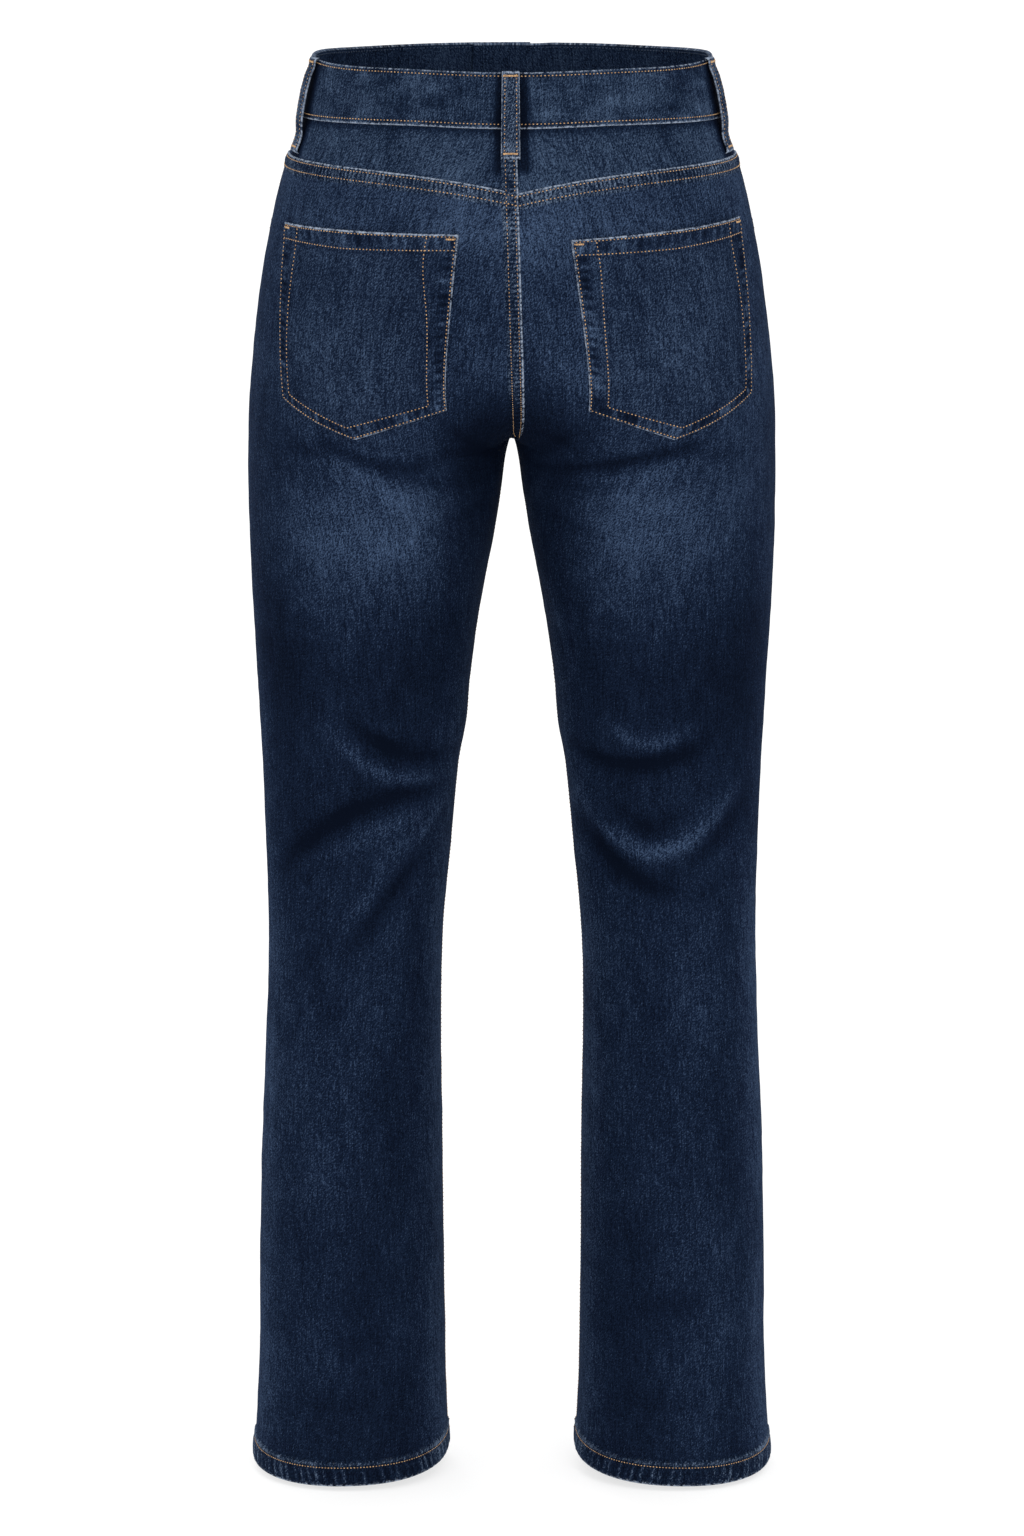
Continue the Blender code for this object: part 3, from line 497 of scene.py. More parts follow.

# Lines along the sharper folds: painted highlight on a crest, and painted shade, with a negative depth, in
# a trough
BACK_SHADING_LINES = (
    Fold(0.144, -0.239, 0.103, -0.274, 0.050, -0.264, -0.60, 0.0050),
    Fold(0.060, -0.258, 0.030, -0.250, 0.007, -0.271, -0.40, 0.0045),
    Fold(0.150, -0.251, 0.097, -0.278, 0.046, -0.312, 0.30, 0.0085),
    Fold(0.121, -0.249, 0.097, -0.257, 0.072, -0.256, 0.30, 0.0030),
    Fold(-0.011, -0.274, -0.080, -0.264, -0.146, -0.245, -0.70, 0.0045),
    Fold(-0.049, -0.279, -0.099, -0.274, -0.147, -0.256, 0.34, 0.0055),
    Fold(-0.012, -0.244, -0.037, -0.240, -0.052, -0.260, -0.30, 0.0040),
    Fold(-0.025, -0.358, -0.038, -0.403, -0.052, -0.447, 0.35, 0.0022),
    Fold(0.122, -0.457, 0.093, -0.501, 0.037, -0.491, -0.55, 0.0060),
    Fold(0.140, -0.455, 0.111, -0.521, 0.041, -0.507, 0.50, 0.0055),
    Fold(0.146, -0.504, 0.129, -0.522, 0.146, -0.542, 0.18, 0.0060),
    Fold(0.174, -0.586, 0.136, -0.518, 0.056, -0.523, -0.75, 0.0065),
    Fold(0.162, -0.579, 0.110, -0.549, 0.053, -0.529, 0.40, 0.0060),
    Fold(0.048, -0.526, 0.061, -0.544, 0.074, -0.562, 0.55, 0.0022),
    Fold(0.060, -0.540, 0.106, -0.577, 0.122, -0.628, 0.34, 0.0060),
    Fold(0.064, -0.562, 0.092, -0.601, 0.126, -0.640, -0.60, 0.0065),
    Fold(-0.065, -0.460, -0.097, -0.495, -0.137, -0.466, 0.55, 0.0060),
    Fold(-0.039, -0.485, -0.092, -0.514, -0.150, -0.478, -0.70, 0.0060),
    Fold(-0.075, -0.526, -0.099, -0.564, -0.130, -0.528, -0.45, 0.0070),
    Fold(-0.077, -0.542, -0.099, -0.574, -0.131, -0.548, 0.40, 0.0035),
    Fold(-0.043, -0.511, -0.108, -0.630, -0.181, -0.490, 0.50, 0.0038),
    Fold(-0.050, -0.520, -0.108, -0.616, -0.170, -0.505, 0.24, 0.0090),
    Fold(-0.047, -0.534, -0.080, -0.596, -0.126, -0.594, -0.75, 0.0070),
    Fold(-0.135, -0.575, -0.162, -0.550, -0.177, -0.515, -0.40, 0.0060),
)
FRONT_SHADING_LINES = (
    Fold(0.012, -0.242, 0.068, -0.226, 0.126, -0.178, -0.45, 0.0050),
    Fold(-0.012, -0.245, -0.076, -0.232, -0.132, -0.188, -0.45, 0.0050),
    Fold(0.020, -0.258, 0.080, -0.250, 0.136, -0.214, 0.30, 0.0060),
    Fold(-0.022, -0.260, -0.078, -0.254, -0.130, -0.222, 0.30, 0.0060),
    Fold(0.050, -0.494, 0.105, -0.540, 0.164, -0.488, 0.35, 0.0055),
    Fold(0.046, -0.482, 0.105, -0.528, 0.168, -0.474, -0.45, 0.0055),
    Fold(0.052, -0.548, 0.110, -0.538, 0.168, -0.580, 0.30, 0.0060),
    Fold(-0.050, -0.508, -0.112, -0.504, -0.168, -0.552, 0.35, 0.0055),
    Fold(-0.048, -0.494, -0.112, -0.490, -0.170, -0.538, -0.45, 0.0055),
    Fold(-0.056, -0.560, -0.104, -0.600, -0.158, -0.572, 0.30, 0.0060),
)

# Where the cloth is washed paler; a negative amount is painted shade, in the crotch, between the thighs,
# down the outer sides of the hips and thighs and on the inner halves of the shins
Fade = namedtuple("Fade", "x z wide tall amount")


def both(fade):
    """A fade or a patch of painted shade, and its mirror image."""
    return fade, fade._replace(x=-fade.x)


BACK_FADES_AND_SHADE = (
    Fade(0.086, -0.322, 0.034, 0.026, 0.34),
    Fade(0.118, -0.306, 0.038, 0.040, 0.36),
    Fade(-0.108, -0.300, 0.044, 0.036, 0.50),
    *both(Fade(0.110, -0.370, 0.034, 0.060, 0.10)),
    Fade(0.022, -0.088, 0.050, 0.024, 0.30),
    Fade(-0.030, -0.090, 0.044, 0.024, 0.26),
    Fade(0.178, -0.180, 0.018, 0.090, -0.22),
    Fade(-0.175, -0.160, 0.020, 0.090, 0.05),
    Fade(0.000, -0.240, 0.050, 0.038, -0.85),
    *both(Fade(0.028, -0.320, 0.024, 0.060, -0.40)),
    *both(Fade(0.178, -0.420, 0.022, 0.120, -0.30)),
    Fade(0.120, -0.500, 0.060, 0.060, 0.06),
    Fade(-0.110, -0.520, 0.050, 0.040, 0.10),
    Fade(0.100, -0.950, 0.030, 0.140, -0.26),
    Fade(-0.090, -0.950, 0.030, 0.140, -0.22),
    Fade(0.140, -0.760, 0.026, 0.200, 0.10),
    Fade(-0.130, -0.740, 0.026, 0.200, 0.12),
)
FRONT_FADES_AND_SHADE = (
    Fade(0.104, -0.300, 0.034, 0.085, 0.62),
    Fade(-0.102, -0.305, 0.034, 0.085, 0.60),
    Fade(0.112, -0.500, 0.034, 0.060, 0.40),
    Fade(-0.112, -0.505, 0.034, 0.060, 0.40),
    Fade(0.000, -0.250, 0.040, 0.050, -0.45),
    *both(Fade(0.178, -0.420, 0.022, 0.120, -0.30)),
    *both(Fade(0.075, -0.120, 0.050, 0.050, 0.16)),
    *both(Fade(0.125, -0.800, 0.030, 0.180, 0.16)),
)


def fade_and_shade_tone(x, z, fades):
    """How much paler a set of fades leaves the cloth, and how much darker its painted shade leaves it."""
    tone = np.zeros(np.shape(x))
    for fade in fades:
        away = ((x - fade.x) / fade.wide) ** 2 + ((z - fade.z) / fade.tall) ** 2
        tone = tone + fade.amount * np.exp(-away)
    return tone


def relief(side, q, z):
    """The skin, its outward direction, how far creases lift it, and how pale it is, with painted shade in
    troughs and painted highlight on crests.
    """
    point, normal = skin(q, z), skin_normal(q, z)
    x, height = point[..., 0] * side, point[..., 2]
    behind = ease(-0.15, 0.35, normal[..., 1])
    before = ease(-0.15, 0.35, -normal[..., 1])
    big = behind * fold_relief(x, height, BACK_FOLDS) + before * fold_relief(x, height, FRONT_FOLDS)
    small = behind * fold_relief(x, height, BACK_CREASES) + before * fold_relief(x, height, FRONT_CREASES)
    around = x + 0.4 * point[..., 1]
    # lines: painted highlight on the crests and painted shade in the troughs of the sharper folds, which
    # also lift them a little
    lines = behind * fold_relief(x, height, BACK_SHADING_LINES) + before * fold_relief(x, height, FRONT_SHADING_LINES)
    lift = big + small + 0.0007 * lines + 0.00045 * clouds(around, height, 2 + side, 0.055)
    tone = behind * fade_and_shade_tone(x, height, BACK_FADES_AND_SHADE) + before * fade_and_shade_tone(x, height, FRONT_FADES_AND_SHADE)
    # Painted shade in the troughs and painted highlight on the crests of the folds and creases
    tone = tone + np.where(big < 0, TROUGH_DARK, CREST_PALE) * big
    tone = tone + np.where(small < 0, CREASE_DARK, CREASE_PALE) * small + lines
    tone = tone + 0.12 * clouds(around, height * 0.45, 5 + side, 0.030)
    tone = tone + 0.20 * ease(-0.24, -0.20, height) - 0.52 * ease(-0.33, -0.43, height)
    tone = tone + 0.12 * ease(-0.46, -0.52, height) + 0.12 * ease(-0.56, -0.66, height)
    # Painted highlight along the sides of the legs below the thighs, where they turn away from front and
    # back
    tone = tone + 0.50 * ease(0.75, 0.25, np.abs(normal[..., 1])) * ease(-0.30, -0.45, height)
    return point, normal, lift, tone


def cloth(side, q, z, out=0.0):
    """Points of the creased skin on one side, moved out by a distance."""
    point, normal, lift, _ = relief(side, q, z)
    moved = point + normal * (lift + out)[..., None]
    moved[..., 0] *= side
    return moved


def outward(side, q, z):
    """Outward directions on one side."""
    normal = skin_normal(q, z)
    normal[..., 0] *= side
    return normal


def tone_at(side, q, z):
    """How pale the cloth is at a place, painted shade and highlight included."""
    return relief(side, q, z)[3]


def shadow_beside_loops(side, q):
    """How much darker the cloth is beside the belt loops: painted shadow cast by the loops."""
    dark = 0
    for _, loop_side, loop_q, _ in LOOPS:
        places = (loop_q,) if loop_q < 0.9 else (loop_q, 2 - loop_q)
        if loop_q < 0.9 and loop_side != side:
            continue
        for place in places:
            away = np.abs(q - place) * length_at(q, 0.0)
            dark = dark + peak(np.maximum(away - LOOP_WIDTH / 2, 0), 0, 0.0044)
    return -1.2 * np.minimum(dark, 1)


# Cloth pieces

def new_object(name, data):
    """A new object in the scene."""
    made = bpy.data.objects.new(name, data)
    bpy.context.scene.collection.objects.link(made)
    return made


def cloth_mesh(name, points, uv, tone, edge, finish, flip=False, thickness=0.0, lining=None):
    """A sheet over a grid of points, with its threads' directions, its tone and its worn edges."""
    rows, columns = points.shape[:2]
    index = np.arange(rows * columns).reshape(rows, columns)
    here, there = index[:, :-1], index[:, 1:]
    faces = np.stack([here[:-1], here[1:], there[1:], there[:-1]], axis=-1).reshape(-1, 4)
    if flip:
        faces = faces[:, ::-1]
    mesh = bpy.data.meshes.new(name)
    mesh.from_pydata(points.reshape(-1, 3).tolist(), [], faces.tolist())
    loops = np.empty(len(mesh.loops), dtype=np.int32)
    mesh.loops.foreach_get("vertex_index", loops)
    layer = mesh.uv_layers.new(name="threads")
    layer.uv.foreach_set("vector", uv.reshape(-1, 2)[loops].astype(np.float32).ravel())
    for label, values in (("tone", tone), ("edge", edge)):
        attribute = mesh.attributes.new(label, "FLOAT", "POINT")
        full = np.ascontiguousarray(np.broadcast_to(values, (rows, columns)), dtype=np.float32)
        attribute.data.foreach_set("value", full.ravel())
    mesh.shade_smooth()
    obj = new_object(name, mesh)
    mesh.materials.append(finish)
    if thickness:
        mesh.materials.append(lining or finish)
        shell = obj.modifiers.new("shell", "SOLIDIFY")
        shell.thickness = thickness
        shell.offset = -1
        shell.material_offset = 1
        shell.material_offset_rim = 0
    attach(obj, "root")
    return obj


def on_skin(name, side, q, z, height, tone, edge, finish, **more):
    """A sheet lying on the creased skin, a height above it."""
    q, z = np.broadcast_arrays(q, z)
    middle = np.sign(np.mean(q)) * 0.5 * thread_width(q, z)
    uv = np.stack([(q * length_at(q, z) - middle) * side, z], axis=-1)
    points = cloth(side, q, z, height)
    i, j = q.shape[0] // 2, q.shape[1] // 2
    facing = np.cross(points[i + 1, j] - points[i, j], points[i, j + 1] - points[i, j])
    flip = facing @ outward(side, q[i, j], z[i, j]) < 0
    return cloth_mesh(name, points, uv, tone, edge, finish, flip=flip, **more)


Sheet = namedtuple("Sheet", "piece node size area")
ON = {}


def hang(piece, node):
    """Let a piece stand for its solid, which is hidden."""
    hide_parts(node)
    ON.setdefault(node, []).append(piece)
    return piece


# How far a front leg runs up under the waistband
TUCK = 0.0022

# A leg's rows of points above the crotch, just below it, and down to the hem
SEAT_ROWS, THIGH_ROWS, LEG_ROWS = 68, 32, 190


def leg_panel(name, side, front, finish, lining):
    """A front or back leg."""
    sign = -1 if front else 1
    length = front_length if front else back_length
    near_centre = [0.9915, 0.9945, 0.9970, 0.9988, 1.0]
    share = np.concatenate([np.linspace(0, 1, 78)[:-1], near_centre])
    q = share * sign
    tucked = TUCK * ease(SCOOP_Q - 0.002, SCOOP_Q + 0.008, share)
    top = scoop_z(q) + tucked if front else yoke_z(q)
    blend = ease(0.10, 1.0, share)
    power = 1 + 0.7 * blend
    low = CROTCH_Z + 0.010 * (1 - blend)
    rows = [low + (top - low) * (1 - i / SEAT_ROWS) ** power for i in range(SEAT_ROWS + 1)]
    rows += [low - 0.000001 - (0.100 * (i / THIGH_ROWS) ** power) for i in range(1, THIGH_ROWS + 1)]
    foot = rows[-1]
    hem = hem_z(q)
    rows += [foot + (hem - foot) * i / LEG_ROWS for i in range(1, LEG_ROWS + 1)]
    z = np.array(rows)
    reach = length(z)
    shift = np.where(z >= CROTCH_Z, centre_shift(z), 0.0) * side
    around = (1 + shift / reach) * share
    near_side = around * reach
    near_middle = (1 - around) * reach
    tone = tone_at(side, around * sign, z)
    groove = peak(near_side, 0, 0.0014)
    below = z < CROTCH_Z
    groove = np.maximum(groove, np.where(below, peak(near_middle, 0, 0.0014), 0))
    band = peak(near_side, 0.0035, 0.0028)
    band = np.maximum(band, np.where(below, peak(near_middle, 0.0045, 0.0036), 0))
    ripple = waver(z, 3 + side + 5 * front)
    height = -0.0007 * groove + 0.00035 * band * (1 + 0.6 * ripple)
    # Painted shade in the groove along each seam
    tone = tone - 0.45 * groove + band * (0.10 + 0.22 * ripple)
    edge = 0.35 * peak(near_side, 0.0016, 0.0009) * (z > -0.30)
    faint = peak(near_side, 0.0080, 0.0016) + peak(near_middle, 0.0110, 0.0016) * below
    edge = edge + 0.30 * faint * np.clip(waver(z, 81 + side, (0.021, 0.034, 0.060)) + 0.25, 0, 1)
    if front:
        from_top = top - z
        scooped = ease(SCOOP_Q + 0.01, SCOOP_Q - 0.02, share)
        rim = scooped * (1 - ease(0.008, 0.011, from_top))
        height = height + rim * 0.0005
        tone = tone + rim * (0.12 + 0.25 * waver(share * WAIST_SPREAD, 8 + side))
        edge = np.maximum(edge, 0.9 * scooped * peak(from_top, 0, 0.0012))
        fly = ease(FLY_END_Z - 0.002, FLY_END_Z + 0.004, z)
        near_lap = (1 - share) * (reach + shift)
        if side == LEFT:
            height = height + 0.0008 * fly * (1 - ease(0.036, 0.038, near_middle))
            folded = peak(near_lap, 0.0004, 0.0006)
            edge = np.maximum(edge, (0.55 + 0.22 * ripple) * fly * folded)
        else:
            # Painted shadow beside the fly's lapped edge
            tone = tone - 0.8 * fly * peak(near_lap, 0, 0.0026)
    q = around * sign
    made = on_skin(f"{name}_cloth", side, q, z, height, tone, edge, finish,
                   thickness=SHELL, lining=lining)
    return hang(made, name)


def yoke(name, side, finish, lining):
    """The upper piece of one side of the seat."""
    share = np.linspace(0, 1, 90)
    high, low = band_z(share) + 0.003, yoke_z(share) - 0.004
    z = np.array([high + (low - high) * i / 20 for i in range(21)])
    reach = back_length(z)
    around = (1 + centre_shift(z) * side / reach) * share
    below_band = band_z(share) - z
    # Painted shadow just under the waistband's lower edge
    tone = tone_at(side, around, z) - 0.7 * peak(below_band, 0, 0.0040)
    # Painted shadow beside the belt loops
    tone = tone + shadow_beside_loops(side, around) * ease(-0.052, -0.046, z)
    groove = peak(around * reach, 0, 0.0014)
    height = -0.0006 * groove
    # Painted shade in the outseam's groove
    tone = tone - 0.4 * groove
    made = on_skin(f"{name}_cloth", side, around, z, height, tone, 0 * z, finish,
                   thickness=SHELL, lining=lining)
    return hang(made, name)


# Across a folded seam: how far in, how high, how worn, how puckered and how much paler it is
Fall = namedtuple("Fall", "inward height edge pucker pale", defaults=(0.0,))
FELLED = (
    Fall(-0.0002, -0.0004, 0.2, 0.0),
    Fall(0.0000, 0.0006, 1.0, 0.1),
    Fall(0.0006, 0.0011, 1.0, 0.2),
    Fall(0.0014, 0.0012, 0.35, 0.3),
    Fall(0.0024, 0.0010, 0.0, 0.2),
    Fall(0.0036, 0.0013, 0.0, 0.8),
    Fall(0.0050, 0.0015, 0.0, 1.0),
    Fall(0.0064, 0.0014, 0.0, 0.9),
    Fall(0.0078, 0.0010, 0.0, 0.3),
    Fall(0.0088, 0.0008, 0.0, 0.2),
    Fall(0.0098, 0.0008, 0.0, 0.5),
    Fall(0.0112, 0.0003, 0.0, 0.4),
    Fall(0.0128, -0.0004, 0.0, 0.0),
)
HEM_PROFILE = (
    Fall(-0.0008, -0.0010, 0.2, 0.0),
    Fall(-0.0011, 0.0000, 0.9, 0.2),
    Fall(-0.0006, 0.0009, 0.9, 0.4),
    Fall(0.0006, 0.0014, 0.25, 0.7),
    Fall(0.0024, 0.0016, 0.0, 0.8),
    Fall(0.0046, 0.0017, 0.0, 0.9),
    Fall(0.0070, 0.0017, 0.0, 0.9),
    Fall(0.0094, 0.0016, 0.0, 0.8),
    Fall(0.0116, 0.0012, 0.0, 0.7),
    Fall(0.0132, 0.0007, 0.0, 0.2),
    Fall(0.0142, 0.0009, 0.0, 0.1, 0.25),
    Fall(0.0152, 0.0014, 0.12, 0.1, 0.75),
    Fall(0.0162, 0.0013, 0.14, 0.1, 0.65),
    Fall(0.0176, 0.0005, 0.05, 0.1, 0.20),
    Fall(0.0190, -0.0004, 0.0, 0.0),
)


def felled_strip(carrier, name, side, q_of, z_of, along, profile, finish, seed, tone=0.0, lift=0.0,
                 loose=False, fleck=1.0):
    """A folded, puckered seam: q_of and z_of give its lines from how far in they are.

    loose gives it a hem's pleats in place of a seam's even puckers. fleck is the share of its worn edge
    that shows.
    """
    inward, base, worn, puckered, pale = (np.array(column)[:, None] for column in zip(*profile))
    q = np.array([q_of(d) for d in inward[:, 0]])
    z = np.array([z_of(d) for d in inward[:, 0]])
    pucker_at = pleats if loose else ladder
    ripple = pucker_at(along, seed)
    drift = np.array([pucker_at(along + 0.0007 * i, seed) for i in range(len(profile))])
    pucker = puckered * (drift if loose else 0.7 * ripple + 0.3 * drift)
    edge = worn * (0.72 + 0.28 * ripple) * fleck
    tones = tone_at(side, q, z) + tone + 0.85 * pucker + pale * (0.8 + 0.3 * drift) - 0.15
    made = on_skin(name, side, q, z, base + 0.00042 * pucker + lift, tones, edge, finish)
    ON[carrier].append(made)
    return made


def seam_strips(finish):
    """The yoke, centre back and hem seams."""
    for word, side in SIDES:
        share = np.linspace(0.0, 1.0, 430)
        line = yoke_z(share)
        reach = float(back_length(-0.055))
        edge_q = 1 + centre_shift(line) * side / reach
        q = share * edge_q
        felled_strip(f"back_{word}", f"yoke_seam_{word}", side, lambda d: q, lambda d: line + SEAM_RISE - d,
                     q * reach, FELLED, finish, 11 + side, tone=-0.10)
        around = np.linspace(0, 1, 380)
        for part, sign, length in (("back", 1, back_length), ("front", -1, front_length)):
            hem = hem_z(around * sign)
            run = around * float(length(HEM_Z))
            felled_strip(f"{part}_{word}", f"hem_{part}_{word}", side, lambda d: around * sign,
                         lambda d: hem + d, run, HEM_PROFILE, finish, 21 + side + 3 * sign, tone=0.06,
                         loose=True)
    for name, low, high, carrier, seed in (
        ("centre_seam_yoke", yoke_z(1.0) - 0.0006, band_z(1.0) + 0.002, "yoke_left", 31),
        ("centre_seam_seat", CROTCH_Z + 0.0035, yoke_z(1.0) + 0.0006, "back_left", 33),
    ):
        z = np.linspace(float(high), float(low), 400 if low < -0.1 else 80)
        reach = back_length(z)
        fade = ease(CROTCH_Z, CROTCH_Z + 0.016, z)
        crossing = 0.0010 * peak(z - yoke_z(1.0), -0.006, 0.0085)
        felled_strip(carrier, name, LEFT,
                     lambda d: 1 + (lap_line(z) - d * (0.55 + 0.45 * fade)) / reach,
                     lambda d: z, z, FELLED, finish, seed, tone=-0.10, lift=crossing - 0.0005 * (1 - fade),
                     fleck=0.55 + 0.45 * ease(CROTCH_Z + 0.008, CROTCH_Z + 0.05, z))


def waistband(finish, lining):
    """The waistband, with its ends lapped at the front and its turned edges a little worn."""
    length = float(front_length(0.0))
    left_q = np.linspace(-1 - UPPER_END / length, 1, 210)
    right_q = np.linspace(1, -1 - LOWER_END / length, 216)[1:]
    drop = LOWER_END_DROP * ease(0.034, 0.018, (right_q + 1) * length) * (right_q < 0)
    steps = np.array([0, 0.006, 0.016, 0.032, 0.06, 0.09, 0.13, 0.20, 0.28, 0.36, 0.44, 0.52, 0.60, 0.68,
                      0.76, 0.84, 0.89, 0.93, 0.96, 0.984, 0.995, 1.0])
    grids, tones, edges, uvs = [], [], [], []
    run = 0.0
    for side, q, sunk in ((LEFT, left_q, 0 * left_q), (RIGHT, right_q, drop)):
        high, low = rim_z(q), band_z(q) + 0.0001
        z = high + (low - high) * steps[:, None]
        around = np.broadcast_to(q, z.shape)
        deep = (high - low) * steps[:, None]
        up = (high - low) - deep
        seam = peak(deep, BAND_TOP_LINE, 0.0011) + peak(up, BAND_FOOT_LINE, 0.0011)
        along = q * WAIST_SPREAD * side
        ripple = waver(along, 41) * peak(np.minimum(deep, up), 0, 0.0060)
        ripple = ripple + waver(along, 47, (0.008, 0.013, 0.024)) * peak(up, 0.0085, 0.0055)
        turned = peak(deep, 0, 0.0007) + peak(up, 0, 0.0005)
        soft = 0.0004 * clouds(along + 0 * z, z * 2.0, 6, 0.034)
        height = WAISTBAND_PROUD - sunk - 0.0009 * turned - 0.00030 * seam + 0.00028 * ripple + soft
        grids.append(cloth(side, around, z, height))
        mottle = 0.50 * clouds(along * 0.5 + 0 * z, z * 1.4, 12, 0.011)
        # Painted shadow beside the belt loops darkens the band
        tone = 0.04 + mottle + 0.8 * tone_at(side, around, z) + shadow_beside_loops(side, around)
        tones.append(tone + 0.42 * ripple - 0.25 * seam + 260 * soft)
        rubbed = np.maximum(0.62 * peak(deep, 0.0004, 0.0007), 1.15 * peak(up, 0.0002, 0.0007))
        edges.append(rubbed * (0.8 + 0.2 * waver(along, 44)))
        uvs.append(np.stack([run + along + 0 * deep, 0.3 - deep], axis=-1))
        run = 2 * WAIST_SPREAD
    points, uv, tone, edge = (np.concatenate(halves, axis=1) for halves in (grids, uvs, tones, edges))
    made = cloth_mesh("waistband_cloth", points, uv, tone, edge, finish,
                      thickness=BAND_SHELL, lining=lining)
    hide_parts("waistband")
    length = np.linalg.norm(np.diff(points[10], axis=0), axis=-1).sum()
    ON["waistband"] = [made]
    return made


# A back pocket's edges: the q of its inner and outer edge at the top and bottom, and its heights
Patch = namedtuple(
    "Patch", "inner_top inner_low outer_top outer_low tip top_in top_out low_in low_out low_tip"
)
POCKETS = {
    LEFT: Patch(0.845, 0.825, 0.236, 0.366, 0.566, -0.0930, -0.0940, -0.2200, -0.2175, -0.2430),
    RIGHT: Patch(0.830, 0.795, 0.221, 0.317, 0.552, -0.0970, -0.0900, -0.2205, -0.2160, -0.2430),
}


def pocket_place(side, across, down):
    """The q and z of a place on a back pocket: across is 0 at its inner edge, down is 0 at its top."""
    p = POCKETS[side]
    inner = p.inner_top + (p.inner_low - p.inner_top) * down
    outer = p.outer_top + (p.outer_low - p.outer_top) * down
    tip_share = (p.inner_low - p.tip) / (p.inner_low - p.outer_low)
    q = inner + (outer - inner) * across
    top = p.top_in + (p.top_out - p.top_in) * across
    before = p.low_in + (p.low_tip - p.low_in) * across / tip_share
    after = p.low_tip + (p.low_out - p.low_tip) * (across - tip_share) / (1 - tip_share)
    blend = ease(tip_share - 0.012, tip_share + 0.012, across)
    low = before * (1 - blend) + after * blend
    return q, top + (low - top) * down


def pocket_band(side, down):
    """How wide the turned-in border is down a pocket's two sides, inner and outer, in metres."""
    inner = 0.0150 + 0.0080 * peak(down, 0.12, 0.28) * (1 if side == LEFT else 0.35)
    outer = 0.0110 + 0.0075 * peak(down, 0, 0.40)
    return inner, outer


def pocket_height(side, across, down):
    """How far a pocket's face stands off the skin, how pale it is and how worn its edges are."""
    from_in, from_out = across * POCKET_WIDE, (1 - across) * POCKET_WIDE
    from_top, from_low = down * POCKET_TALL, (1 - down) * POCKET_TALL
    inner, outer = pocket_band(side, down)
    sides = np.minimum(from_in, from_out)
    sewn = np.minimum(sides, from_low)
    rim = np.minimum(sewn, np.abs(from_top))
    turned = 1 - peak(sewn, 0, 0.0005)
    in_hem = 1 - ease(0.0118, 0.0132, from_top)
    in_border = 1 - ease(inner, inner + 0.0015, from_in)
    in_border = np.maximum(in_border, 1 - ease(outer, outer + 0.0015, from_out))
    in_border = np.maximum(in_border, 1 - ease(0.0085, 0.0100, from_low))
    run = np.where(sides < from_low, from_top, across * POCKET_WIDE)
    ripple = 0.45 * ladder(run, 51 + side, 0.0066) + 0.75 * waver(run, 57 + side, (0.0045, 0.0080, 0.0150))
    mouth_run = across * POCKET_WIDE + 0.35 * from_top
    hem_ripple = 0.40 * ladder(mouth_run, 55 + side, 0.0074)
    hem_ripple = hem_ripple + 0.75 * waver(mouth_run, 59 + side, (0.0042, 0.0085, 0.0170))
    middle = np.sin(np.pi * np.clip(across, 0, 1)) * np.sin(np.pi * np.clip(down, 0, 1))
    mouth = np.sin(np.pi * np.clip(across, 0, 1)) * peak(from_top, 0, 0.022)
    bumps = clouds(across * 0.15, down * 0.14, 7 + side, 0.045)
    height = -0.0006 + turned * 0.0027 + 0.0006 * middle + 0.0008 * mouth + 0.00030 * bumps * middle
    height = height + 0.00035 * in_hem + 0.00020 * in_border
    puckers = np.maximum(in_hem, in_border) * np.where(in_hem > 0.5, hem_ripple, ripple)
    band_middle = peak(rim, 0.0060, 0.0038)
    height = height + 0.00045 * puckers * band_middle
    tone = -0.10 + 0.18 * middle + 1.15 * puckers * band_middle + 0.12 * bumps - 0.10 * band_middle
    # Painted shade just below the mouth's turned hem
    tone = tone - 0.22 * peak(from_top, 0.0138, 0.0010) * (down > 0)
    edge = 0.94 * peak(rim, 0.0005, 0.0007) * (0.80 + 0.20 * ripple)
    return height, tone, edge


def spaced(wide, step=0.0012):
    """Shares across a piece, close together near its two edges."""
    near = np.array([0, 0.0002, 0.0005, 0.0009, 0.0014, 0.0020])
    middle = np.linspace(0.0027, wide - 0.0027, int(wide / step))
    return np.concatenate([near, middle, wide - near[::-1]]) / wide


def back_pocket(name, side, finish):
    """A patch pocket with turned, puckered edges and an open, folded mouth."""
    across, down = np.meshgrid(spaced(POCKET_WIDE), spaced(POCKET_TALL))
    q, z = pocket_place(side, across, down)
    height, tone, edge = pocket_height(side, across, down)
    tone = tone + 0.5 * tone_at(side, q, z)
    fold_down = np.array([[0.10], [0.03], [0.001], [-0.0028]]) + 0 * across[:4]
    fold_q, fold_z = pocket_place(side, across[:4], fold_down)
    drop = np.array([[0.0016], [0.0015], [0.0013], [0.0006]]) * np.clip(height[:1] / 0.0020, 0, 1)
    # The fold of the mouth, turning down into the opening, is darkened there with painted shade
    rows = [np.vstack(pair) for pair in (
        (fold_q, q), (fold_z, z), (height[:1] - drop, height),
        (tone[:1] - np.array([[0.9], [0.8], [0.4], [0.0]]) + 0 * drop, tone), (edge[:1] + 0 * drop, edge),
    )]
    made = on_skin(f"{name}_cloth", side, *rows, finish)
    return hang(made, name)


